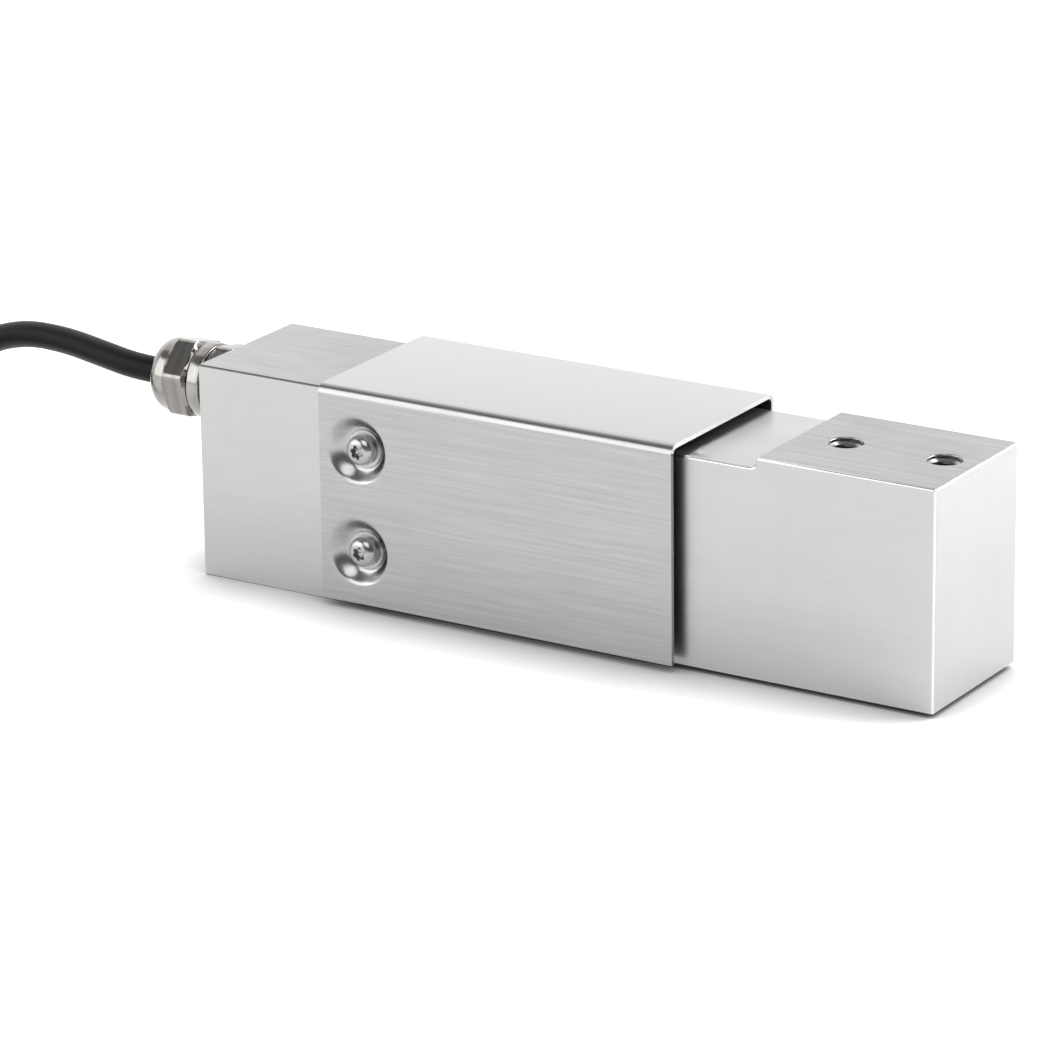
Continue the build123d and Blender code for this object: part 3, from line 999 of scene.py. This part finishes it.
@dataclass
class CableGland:
    """The nickel plated gland in the fixed end: collar, hexagon and domed cap nut."""

    finish: Material
    seal_finish: Material
    flats: float = 14.0 * MM
    corner_turn: float = 14.5
    corner_round: float = 1.2 * MM
    segments: int = 240
    seal_radius: float = 6.5 * MM
    hex_length: float = 3.8 * MM
    bead_radius: float = 6.95 * MM
    bead_length: float = 0.85 * MM
    groove_radius: float = 6.5 * MM
    groove_length: float = 0.3 * MM
    collar_radius: float = 7.05 * MM
    collar_length: float = 2.75 * MM
    neck_radius: float = 5.25 * MM
    nut_gap: float = 0.15 * MM
    nut_hex_length: float = 4.6 * MM
    dome_length: float = 4.4 * MM
    dome_round: float = 2.8 * MM
    turned_radius: float = 6.88 * MM
    body_turn: float = -3.0
    tip_radius: float = 4.5 * MM
    rim_radius: float = 3.5 * MM
    exit_radius: float = 2.62 * MM
    seal_bore: float = 6.05 * MM
    thread_radius: float = 5.95 * MM
    body_bore: float = 3.0 * MM
    insert_seat: float = 4.0 * MM
    nut_bore: float = 5.3 * MM
    edge: float = 0.35 * MM

    def _place(self, bm: BMesh, origin: Vector, extra: float = 0.0) -> None:
        """Stand a spun shape along -X, with its first corner where the photograph has it.

        Args:
            bm: The shape.
            origin: Where its own origin goes.
            extra: Degrees that it is turned on from there.
        """
        turn = math.radians(self.corner_turn + extra)
        up = Vector((0, -math.cos(turn), math.sin(turn)))
        bmesh.ops.transform(
            bm, matrix=seat_frame(origin, Vector((-1, 0, 0)), up), verts=bm.verts[:]
        )

    def _cut_flats(self, bm: BMesh, start: float, end: float = 1.0) -> None:
        """Press every point between two heights in to six flats with rounded corners.

        Args:
            bm: The shape, round its own Z axis.
            start: The lower height.
            end: The upper height.
        """
        apothem = self.flats / 2
        inner = (apothem - self.corner_round) / math.cos(math.pi / 6)
        fillet_reach = math.atan2(inner / 2, apothem)
        for vert in bm.verts:
            radius = Vector(vert.co.xy).length
            if not start - 1e-7 < vert.co.z < end + 1e-7 or radius < apothem:
                continue
            angle = math.atan2(vert.co.y, vert.co.x)
            from_corner = abs((angle + math.pi / 6) % (math.pi / 3) - math.pi / 6)
            from_middle = math.pi / 6 - from_corner
            limit = apothem / math.cos(from_middle)
            if from_middle > fillet_reach:
                offset = inner * math.sin(from_corner)
                reach = math.sqrt(max(0.0, self.corner_round**2 - offset**2))
                limit = min(limit, inner * math.cos(from_corner) + reach)
            if radius > limit:
                vert.co.xy = Vector(vert.co.xy) * limit / radius

    def build(self) -> None:
        """Model the seal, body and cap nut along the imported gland's axis."""
        low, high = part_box("gland_seal")
        axis = Vector((high.x, 0, (low.z + high.z) / 2))
        seal_length = high.x - low.x
        half = seal_length / 2
        bulge = arc((self.seal_radius - half, half), half, -90, 90, 8)
        bm = spun([(self.seal_bore, 0.0), *bulge, (self.seal_bore, seal_length)], self.segments)
        self._place(bm, axis)
        finish_piece(bm, "seal_ring", self.seal_finish, "gland_seal", sharp=60.0)

        corner = self.flats / math.sqrt(3)
        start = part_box("gland_body")[1].x - high.x
        neck_end = high.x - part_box("gland_body")[0].x
        edge = self.edge
        hex_end = seal_length + self.hex_length
        bead_end = hex_end + self.bead_length
        groove_end = bead_end + self.groove_length
        collar_end = groove_end + self.collar_length
        bead = self.bead_length / 2
        outline = [
            (self.body_bore, -start),
            (self.thread_radius, -start),
            (self.thread_radius, seal_length),
            (self.flats / 2 - 0.1 * MM, seal_length),
            (corner - edge, seal_length + 0.25 * edge),
            (corner - 0.5 * edge, seal_length + 0.55 * edge),
            (corner, seal_length + edge),
            (corner, hex_end - 1.6 * edge),
            (corner - 0.7 * edge, hex_end - 0.9 * edge),
            (corner - 1.8 * edge, hex_end - 0.3 * edge),
            (self.flats / 2 - 0.1 * MM, hex_end),
            (self.flats / 2 - 0.5 * MM, hex_end),
            *arc((self.bead_radius - bead, hex_end + bead), bead, -60, 60, 8),
            (self.groove_radius, bead_end),
            (self.groove_radius, groove_end),
            *arc((self.collar_radius - 0.35 * MM, groove_end + 0.35 * MM), 0.35 * MM, -80, 0, 5),
            *arc((self.collar_radius - 0.3 * MM, collar_end - 0.3 * MM), 0.3 * MM, 0, 80, 5),
            (self.neck_radius, collar_end),
            (self.neck_radius, neck_end),
            (self.insert_seat, neck_end),
            (self.insert_seat, neck_end - 2.0 * MM),
            (self.body_bore, neck_end - 3.0 * MM),
        ]
        bm = spun(outline, self.segments)
        self._cut_flats(bm, seal_length, hex_end)
        self._place(bm, axis, self.body_turn)
        body = finish_piece(bm, "hex_body", self.finish, "gland_body", sharp=28.0)
        soften(body, 0.06 * MM, 40.0)

        nut_start = collar_end + self.nut_gap
        shoulder = nut_start + self.nut_hex_length
        tip = shoulder + self.dome_length
        round_start = tip - self.dome_round
        stretch = (self.turned_radius - self.tip_radius) / self.dome_round
        dome = [
            (self.tip_radius + r * stretch, round_start + z)
            for r, z in arc((0.0, 0.0), self.dome_round, 0, 90, 12)
        ]
        crest = [
            (corner - 0.15 * MM, shoulder - 0.12 * MM),
            (corner - 0.45 * MM, shoulder + 0.1 * MM),
            (self.turned_radius + 0.12 * MM, shoulder + 0.45 * MM),
            (self.turned_radius, shoulder + 0.62 * MM),
        ]
        outline = [
            (self.nut_bore, nut_start),
            (self.flats / 2 - 0.15 * MM, nut_start),
            (corner - 0.5 * edge, nut_start + 1.5 * edge),
            (corner, nut_start + 1.9 * edge),
            (corner, shoulder - 0.4 * MM),
            *crest,
            *dome,
            (self.tip_radius - 0.25 * MM, tip),
            (self.rim_radius + 0.1 * MM, tip),
            (self.rim_radius, tip - 0.1 * MM),
            (self.rim_radius - 0.1 * MM, tip - 0.4 * MM),
            (self.exit_radius, tip - 0.4 * MM),
            (self.exit_radius, shoulder + 1.8 * MM),
            (self.nut_bore, shoulder),
        ]
        bm = spun(outline, self.segments)
        self._cut_flats(bm, nut_start)
        self._place(bm, axis)
        nut = finish_piece(bm, "cap_nut", self.finish, "gland_cap_nut", sharp=32.0)
        soften(nut, 0.08 * MM, 40.0)


@dataclass
class SignalCable:
    """The round signal cable: its lead out of the gland, the tied hank and the free end."""

    finish: Material
    diameter: float = 5.0 * MM
    turn_radii: tuple[float, float] = (20.0 * MM, 15.0 * MM)
    straight: float = 52.0 * MM
    lift: float = 1.2 * MM
    real_length: float = 1.38
    fold_steps: int = 9
    lead: tuple[tuple[float, float, float], ...] = (
        (0.0, 0.0, 31.8),
        (-6.5, 0.0, 31.8),
        (-15.5, 1.9, 32.4),
        (-26.5, 4.8, 32.8),
        (-37.5, 6.8, 32.1),
        (-48.5, 8.8, 28.2),
        (-58.0, 11.1, 20.6),
        (-68.0, 13.6, 15.6),
    )
    tail: tuple[tuple[float, float, float], ...] = (
        (0.0, 0.0, 8.7),
        (7.0, 0.0, 8.7),
        (16.0, -1.0, 7.0),
        (26.0, -2.2, 4.9),
        (35.0, -3.2, 4.3),
    )
    slots: tuple[tuple[int, int], ...] = ((0, 2), (1, 2), (1, 1), (1, 0), (0, 0), (0, 1))
    crossings: tuple[tuple[float, float], ...] = (
        (0.62, 0.98),
        (0.38, 0.72),
        (0.38, 0.72),
        (0.18, 0.5),
        (0.0, 0.32),
    )

    @staticmethod
    def _eased(part: float, start: float, end: float) -> float:
        """Ease a share in and out of a window.

        Args:
            part: The share of the way.
            start: Share where the window opens.
            end: Share where it closes.

        Returns:
            0 before the window, 1 after it and a smooth step between.
        """
        t = min(1.0, max(0.0, (part - start) / (end - start)))
        return t * t * (3 - 2 * t)

    def _coil(self, middle: Vector) -> list[Vector]:
        """Points of the six tied turns, wound from the top slot to the middle one.

        Args:
            middle: Centre of the hank on the floor.

        Returns:
            Points from the start of the first turn to the end of the last.
        """
        half = self.straight / 2
        points = []
        for turn, (column, layer) in enumerate(self.slots):
            radius = self.turn_radii[column]
            height = self.lift + (layer + 0.5) * self.diameter
            after = self.slots[turn + 1] if turn + 1 < len(self.slots) else None
            points.append(middle + Vector((half, radius, height)))
            points.append(middle + Vector((0.0, radius, height)))
            for step in range(self.fold_steps + 1):
                angle = math.pi / 2 + math.pi * step / self.fold_steps
                spot = (radius * math.cos(angle) - half, radius * math.sin(angle), height)
                points.append(middle + Vector(spot))
            points.append(middle + Vector((0.0, -radius, height)))
            if after is None:
                points.append(middle + Vector((half, -radius, height)))
                continue
            next_radius = self.turn_radii[after[0]]
            next_height = self.lift + (after[1] + 0.5) * self.diameter
            for step in range(self.fold_steps):
                part = step / self.fold_steps
                eased = self._eased(part, *self.crossings[turn])
                r = radius + (next_radius - radius) * eased
                h = height + (next_height - height) * eased
                angle = -math.pi / 2 + math.pi * part
                spot = (half + r * math.cos(angle), r * math.sin(angle), h)
                points.append(middle + Vector(spot))
        return points

    def build(self, pieces: Sequence[Object]) -> Object:
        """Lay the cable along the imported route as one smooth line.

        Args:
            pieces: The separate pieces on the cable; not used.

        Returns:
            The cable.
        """
        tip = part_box("gland_cap_nut")[0].x
        low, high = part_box("cable_hank")
        middle = Vector(((low.x + high.x) / 2, (low.y + high.y) / 2, 0.0))
        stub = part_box("cable_tail")[0].x + 0.04 * MM
        tail_y = middle.y - self.turn_radii[0]
        lead_y = middle.y + self.turn_radii[0]
        top = self.lift + 2.5 * self.diameter
        points = [Vector((tip + x * MM, y * MM, z * MM)) for x, y, z in self.lead]
        points += [Vector((stub + 8 * MM, lead_y, top)), Vector((stub, lead_y, top))]
        points += self._coil(middle)
        points += [Vector((stub + x * MM, tail_y + y * MM, z * MM)) for x, y, z in self.tail]
        curve = bpy.data.curves.new("cable_line", "CURVE")
        curve.dimensions = "3D"
        spline = curve.splines.new("NURBS")
        spline.points.add(len(points) - 1)
        for knot, point in zip(spline.points, points):
            knot.co = (*point, 1.0)
        spline.order_u = 3
        spline.use_endpoint_u = True
        spline.resolution_u = 8
        curve.bevel_depth = self.diameter / 2
        curve.bevel_resolution = 7
        curve.use_fill_caps = True
        curve.materials.append(self.finish)
        cable = bpy.data.objects.new("round_cable", curve)
        bpy.context.scene.collection.objects.link(cable)
        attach(cable, ROOT)
        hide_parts("signal_cable", "cable_hank", "cable_tail")
        runs = [(b - a).length for a, b in zip(points, points[1:])]
        length = round(sum(runs), 3)
        log.info("cable: %d points, runs add up to %.3f m", len(points), length)
        return cable


@dataclass
class CableTies:
    """The two ties round the limbs of the hank, each with a ratchet head and a cut tail."""

    finish: Material
    band: float = 1.2 * MM
    width: float = 3.6 * MM
    corner: float = 2.7 * MM
    head: float = 5.0 * MM
    head_height: float = 3.1 * MM
    head_taper: float = 0.86
    mouth_wall: float = 0.75 * MM
    mouth_depth: float = 0.9 * MM
    strap_share: float = 0.8
    slant: float = 0.5 * MM
    teeth: int = 5
    tooth_depth: float = 0.3 * MM
    corner_steps: int = 6

    def _band(self, low: Vector, high: Vector, top: float) -> BMesh:
        """Make the closed band of one tie.

        Args:
            low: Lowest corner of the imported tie.
            high: Its highest corner.
            top: Height of the band's top face.

        Returns:
            The band in place.
        """
        bm = bmesh.new()
        middle_x = (low.x + high.x) / 2
        x = middle_x - self.width / 2
        rings = []
        for inset in (0.0, self.band):
            y0, y1 = low.y + inset, high.y - inset
            z0, z1 = low.z + inset, top - inset
            r = self.corner - inset
            loop = []
            for cy, cz, start in (
                (y1 - r, z1 - r, 0),
                (y0 + r, z1 - r, 90),
                (y0 + r, z0 + r, 180),
                (y1 - r, z0 + r, 270),
            ):
                loop += arc((cy, cz), r, start, start + 90, self.corner_steps)
            verts = [bm.verts.new((x, y, z)) for y, z in loop]
            rings.append([bm.edges.new(p) for p in zip(verts, verts[1:] + verts[:1])])
        bmesh.ops.bridge_loops(bm, edges=rings[0] + rings[1])
        grown = bmesh.ops.extrude_face_region(bm, geom=bm.faces[:])
        moved = [v for v in grown["geom"] if isinstance(v, BMVert)]
        bmesh.ops.translate(bm, verts=moved, vec=(self.width, 0, 0))
        bmesh.ops.recalc_face_normals(bm, faces=bm.faces[:])
        return bm

    def _add_head(self, bm: BMesh, centre: Vector) -> None:
        """Add the tapered ratchet head with its open mouth.

        Args:
            bm: The tie's bmesh.
            centre: Middle of the band's top face.
        """
        block = bmesh.ops.create_cube(bm, size=1.0)
        scale = Matrix.Diagonal((self.head, self.head, self.head_height, 1.0))
        place = Matrix.Translation(centre + Vector((0, 0, self.head_height / 2 - 0.1 * MM)))
        bmesh.ops.transform(bm, matrix=place @ scale, verts=block["verts"])
        faces = {f for v in block["verts"] for f in v.link_faces}
        top = max(faces, key=lambda f: f.calc_center_median().z)
        for vert in top.verts:
            vert.co.xy = centre.xy + (vert.co.xy - centre.xy) * self.head_taper
        bmesh.ops.inset_region(bm, faces=[top], thickness=self.mouth_wall, use_even_offset=True)
        bmesh.ops.translate(bm, verts=top.verts[:], vec=(0, 0, -self.mouth_depth))

    def _add_tail(self, bm: BMesh, centre: Vector, reach: float) -> None:
        """Add the toothed strap end that stands out of the head, cut off at a slant.

        Args:
            bm: The tie's bmesh.
            centre: Middle of the band's top face.
            reach: Height of the cut end over the band.
        """
        strap = bmesh.ops.create_cube(bm, size=1.0)
        scale = Matrix.Diagonal((self.width * self.strap_share, self.band, reach, 1.0))
        place = Matrix.Translation(centre + Vector((0, 0, reach / 2)))
        bmesh.ops.transform(bm, matrix=place @ scale, verts=strap["verts"])
        upright = {
            e for v in strap["verts"] for e in v.link_edges
            if abs(e.verts[0].co.z - e.verts[1].co.z) > reach / 2
        }
        for edge in upright:
            crest = max(edge.verts, key=lambda v: v.co.z)
            crest.co.z -= self.slant if crest.co.x > centre.x else 0.0
        cut = bmesh.ops.subdivide_edges(bm, edges=list(upright), cuts=2 * self.teeth)
        fresh = [v for v in cut["geom_inner"] if isinstance(v, BMVert)]
        for vert in fresh:
            share = (vert.co.z - centre.z) / reach
            tooth = round(share * (2 * self.teeth + 1)) % 2
            if tooth and vert.co.y > centre.y:
                vert.co.y -= self.tooth_depth

    def build(self) -> list[Object]:
        """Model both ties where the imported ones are.

        Returns:
            The two ties.
        """
        ties = []
        for number in (1, 2):
            node = f"cable_tie_{number}"
            low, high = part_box(node)
            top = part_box("cable_hank")[1].z + self.band
            bm = self._band(low, high, top)
            centre = Vector(((low.x + high.x) / 2, (low.y + high.y) / 2, top))
            self._add_head(bm, centre)
            self._add_tail(bm, centre, high.z - top)
            tie = finish_piece(bm, f"tie_{number}", self.finish, node, sharp=35.0)
            soften(tie, 0.15 * MM, 50.0)
            ties.append(tie)
        return ties


@dataclass
class Studio:
    """White table with a painted contact shadow, soft lights and the camera."""

    camera_place: tuple[float, float, float] = (0.47897, -0.78544, 0.33078)
    azimuth: float = 32.163
    elevation: float = 18.802
    roll: float = -0.763
    focal_pixels: float = 5500.0
    image_pixels: float = 1053.0
    sensor: float = 36.0
    backdrop: float = 1.5
    camera_side: float = 0.15
    ceiling: float = 0.3
    table_glow: float = 0.45
    table_shade: float = 0.9
    table_roughness: float = 0.9
    away: tuple[float, float, float] = (-0.53, 0.848, 0.0)
    backdrop_reach: tuple[float, float] = (-0.6, 0.75)
    ceiling_reach: tuple[float, float] = (0.3, 0.8)
    # Reach and depth of the contact shadow painted on the floor, deeper in the camera's view than in
    # reflections.
    painted_shadow_reach: float = 14.0 * MM
    painted_shadow_depth: float = 1.15
    reflected_shadow_depth: float = 0.35

    def add_camera(self) -> None:
        """Set the camera up at the photograph's place and angle."""
        data = bpy.data.cameras.new("camera")
        data.sensor_width = self.sensor
        data.lens = self.sensor * self.focal_pixels / self.image_pixels
        data.clip_end = 50.0
        camera = bpy.data.objects.new("camera", data)
        azimuth, elevation = math.radians(self.azimuth), math.radians(self.elevation)
        level = math.cos(elevation)
        back = Vector(
            (math.sin(azimuth) * level, -math.cos(azimuth) * level, math.sin(elevation))
        )
        right = Vector((math.cos(azimuth), math.sin(azimuth), 0.0))
        frame = Matrix((right, back.cross(right), back)).transposed()
        frame = frame @ Matrix.Rotation(math.radians(self.roll), 3, "Z")
        camera.matrix_world = Matrix.Translation(self.camera_place) @ frame.to_4x4()
        bpy.context.scene.collection.objects.link(camera)
        bpy.context.scene.camera = camera

    def add_floor(self) -> None:
        """Lay the pale floor, with a contact shadow painted into its colour and glow."""
        bm = bmesh.new()
        bmesh.ops.create_grid(bm, x_segments=1, y_segments=1, size=8.0)
        mesh = bpy.data.meshes.new("floor")
        bm.to_mesh(mesh)
        bm.free()
        material, tree, shader = start_material("white_table_painted_shadow")
        shader.inputs["Roughness"].default_value = self.table_roughness
        shader.inputs["Specular IOR Level"].default_value = 0.1
        shader.inputs["Emission Strength"].default_value = self.table_glow
        # Painted contact shadow: an occlusion mask darkens the floor's colour and glow near the cell,
        # more deeply for camera rays than for reflected ones.
        painted_contact_shadow = add_node(tree, "ShaderNodeAmbientOcclusion", {"Distance": self.painted_shadow_reach})
        painted_contact_shadow.samples = 12
        seen = add_node(tree, "ShaderNodeLightPath").outputs["Is Camera Ray"]
        limits = {"To Min": self.reflected_shadow_depth, "To Max": self.painted_shadow_depth}
        strength = add_node(tree, "ShaderNodeMapRange", limits, {"Value": seen})
        depth = add_math(tree, "POWER", painted_contact_shadow.outputs["AO"], strength.outputs["Result"])
        tint = mix_colours(tree, depth.outputs[0], (0.0, 0.0, 0.0), (self.table_shade,) * 3)
        for label in ("Base Color", "Emission Color"):
            tree.links.new(tint, shader.inputs[label])
        mesh.materials.append(material)
        floor = bpy.data.objects.new("floor", mesh)
        bpy.context.scene.collection.objects.link(floor)

    def add_light(
        self, name: str, place: Sequence[float], aim: Sequence[float], size: Sequence[float], power: float
    ) -> None:
        """Hang one soft rectangular light.

        Args:
            name: The light's name.
            place: Where it hangs.
            aim: The point that it faces.
            size: Its width and height.
            power: Its power in watts.
        """
        data = bpy.data.lights.new(name, "AREA")
        data.shape = "RECTANGLE"
        data.size, data.size_y = size
        data.energy = power
        light = bpy.data.objects.new(name, data)
        light.location = place
        facing = Vector(aim) - Vector(place)
        light.rotation_euler = facing.to_track_quat("-Z", "Y").to_euler()
        bpy.context.scene.collection.objects.link(light)

    def add_world(self) -> None:
        """Surround the table with a bright backdrop, a dim camera side and a dark ceiling."""
        world = bpy.data.worlds.new("room")
        bpy.context.scene.world = world
        world.use_nodes = True
        tree = world.node_tree
        sky = tree.nodes["Background"]
        place = add_node(tree, "ShaderNodeTexCoord").outputs["Generated"]
        toward = add_node(tree, "ShaderNodeVectorMath", {1: self.away}, {0: place})
        toward.operation = "DOT_PRODUCT"
        height = add_node(tree, "ShaderNodeSeparateXYZ", links={"Vector": place}).outputs["Z"]
        shares = []
        for source, *limits in (
            (toward.outputs["Value"], *self.backdrop_reach, self.camera_side, self.backdrop),
            (height, *self.ceiling_reach, 1.0, self.ceiling),
        ):
            values = dict(zip(("From Min", "From Max", "To Min", "To Max"), limits))
            share = add_node(tree, "ShaderNodeMapRange", values, {"Value": source})
            share.interpolation_type = "SMOOTHSTEP"
            shares.append(share.outputs["Result"])
        glow = add_math(tree, "MULTIPLY", *shares)
        tree.links.new(glow.outputs[0], sky.inputs["Strength"])
        sky.inputs["Color"].default_value = (1.0, 1.0, 1.0, 1.0)

    def build(self) -> None:
        """Set up the whole studio and its plain colour handling."""
        self.add_camera()
        self.add_floor()
        self.add_world()
        self.add_light("overhead_left", (-0.85, 0.5, 1.0), (0, 0, 0), (0.9, 0.9), 2.0)
        self.add_light("back_right", (0.42, 0.34, 0.4), (0.08, 0.08, 0), (0.42, 0.36), 4.4)
        self.add_light("front_left", (-0.72, -0.8, 0.47), (0, 0, 0.02), (1.12, 0.86), 7.6)
        self.add_light("front_high", (0.3, -0.65, 1.05), (0, 0, 0), (0.85, 0.85), 5.5)
        view = bpy.context.scene.view_settings
        view.view_transform = "Standard"
        view.look = "None"
        view.exposure = 0.0
        view.gamma = 1.0


def dress_node(name: str, material: Material) -> Object:
    """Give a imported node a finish.

    Args:
        name: The node.
        material: Its material.

    Returns:
        The node's object.
    """
    node = bpy.data.objects[name]
    node.data.materials.clear()
    node.data.materials.append(material)
    return node


METALS = (
    MetalFinish(
        "milled_aluminium",
        (0.45, 0.45, 0.446),
        0.3,
        Grain.ALONG_X,
        streak_scale=1500.0,
        streak_shade=0.02,
        smudge_shade=0.05,
    ),
    # The body's tops: stronger streaks and smudges, on a colour painted a little darker than the sides as
    # shade.
    MetalFinish(
        "milled_top_painted_shade",
        (0.43, 0.426, 0.424),
        0.34,
        Grain.ALONG_X,
        grain_scale=6000.0,
        streak_scale=2600.0,
        relief=0.000003,
        streak_shade=0.17,
        smudge_shade=0.1,
    ),
    # The waist: the same milled aluminium, its colour painted lighter to lift the shade under the cover's
    # end.
    MetalFinish(
        "milled_waist_painted_light",
        (0.52, 0.52, 0.515),
        0.3,
        Grain.ALONG_X,
        streak_scale=1500.0,
        streak_shade=0.02,
    ),
    # Chamfers: lower roughness for a burnished edge, and a colour lighter than the sides that is a
    # painted highlight.
    MetalFinish("burnished_edge_painted_highlight", (0.62, 0.62, 0.615), 0.2, Grain.ALONG_X),
    # Near-black colour for the fixed end's top chamfers: painted shade.
    MetalFinish("painted_dark_edge", (0.14, 0.14, 0.14), 0.4, Grain.ALONG_X),
    # The holes' walls and thread ridges: smoother, and coloured darker than the sides as painted shade.
    MetalFinish("tapped_hole_painted_shade", (0.4, 0.4, 0.396), 0.2, Grain.EVEN),
    MetalFinish(
        "satin_sheet",
        (0.37, 0.366, 0.366),
        0.22,
        Grain.ALONG_X,
        grain_scale=7000.0,
        streak_scale=1800.0,
        relief=0.000004,
        streak_shade=0.09,
        stretch_along_uv=0.3,
    ),
    # The cover's top: the same sheet with fainter streaks, its colour painted lighter than the sides' as
    # light.
    MetalFinish(
        "satin_sheet_top_painted_light",
        (0.47, 0.472, 0.473),
        0.25,
        Grain.ALONG_X,
        grain_scale=7000.0,
        streak_scale=2200.0,
        relief=0.0000004,
        streak_shade=0.02,
        smudge_roughness=0.0,
        smudge_shade=0.02,
    ),
    MetalFinish("screw_steel", (0.38, 0.38, 0.375), 0.22, Grain.EVEN),
    MetalFinish("washer_steel", (0.42, 0.42, 0.415), 0.25, Grain.EVEN),
    MetalFinish(
        "nickel_plate", (0.29, 0.279, 0.267), 0.15, Grain.AROUND_X, 1400.0, 900.0, 0.000004, 0.2
    ),
    MetalFinish("tinned_copper", (0.62, 0.61, 0.58), 0.3, Grain.EVEN),
)
MOULDINGS = (
    MouldedFinish("seal_rubber", (0.018, 0.018, 0.018), 0.55),
    MouldedFinish("cable_jacket", (0.006, 0.006, 0.0065), 0.36, gloss=0.1),
    MouldedFinish("clamp_plastic", (0.04, 0.04, 0.04), 0.5),
    MouldedFinish("tie_plastic", (0.02, 0.02, 0.02), 0.4),
    MouldedFinish("shrink_sleeve", (0.012, 0.012, 0.012), 0.5),
    MouldedFinish("gauge_film", (0.72, 0.45, 0.14), 0.3),
    MouldedFinish("sealing_silicone", (0.82, 0.82, 0.8), 0.45, 1500.0),
    MouldedFinish("board_laminate", (0.04, 0.2, 0.08), 0.4),
    MouldedFinish("core_red_coat", (0.5, 0.012, 0.012), 0.35),
    MouldedFinish("core_black_coat", (0.015, 0.015, 0.015), 0.35),
    MouldedFinish("core_green_coat", (0.01, 0.22, 0.04), 0.35),
    MouldedFinish("core_white_coat", (0.8, 0.8, 0.78), 0.35),
)


def main() -> None:
    """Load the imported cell, model and dress its pieces, and light it."""
    logging.basicConfig(level=logging.INFO, format="%(name)s: %(message)s")
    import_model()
    effects = Effects()
    made = {finish.name: finish.build(effects) for finish in (*METALS, *MOULDINGS)}

    body = MeasuringBody({kind: made[kind.value] for kind in Surface})
    body.dress()
    body.build_threads()
    ProtectiveCover(made["satin_sheet"], made["satin_sheet_top_painted_light"]).build()
    CoverFasteners(made["screw_steel"], made["washer_steel"]).build()
    CableGland(made["nickel_plate"], made["seal_rubber"]).build()
    dress_node("gland_insert", made["seal_rubber"])
    dress_node("gland_clamp", made["clamp_plastic"])
    dress_node("cable_inner_end", made["cable_jacket"])
    dress_node("terminal_board", made["board_laminate"])
    for level in ("upper", "lower"):
        dress_node(f"sealing_compound_{level}", made["sealing_silicone"])
        for end in ("fixed", "live"):
            dress_node(f"strain_gauge_{level}_{end}", made["gauge_film"])

    tinned = made["tinned_copper"]
    on_cable = [dress_node("end_sleeve", made["shrink_sleeve"]), dress_node("shield_drain", tinned)]
    for number, name in enumerate(("red", "black", "green", "white"), start=1):
        coat = made[f"core_{name}_coat"]
        on_cable.append(dress_node(f"core_{name}", coat))
        on_cable.append(dress_node(f"ferrule_{name}", tinned))
        dress_node(f"inner_core_{number}", coat)
    on_cable += CableTies(made["tie_plastic"]).build()
    SignalCable(made["cable_jacket"]).build(on_cable)

    Studio().build()


if __name__ == "__main__":
    main()
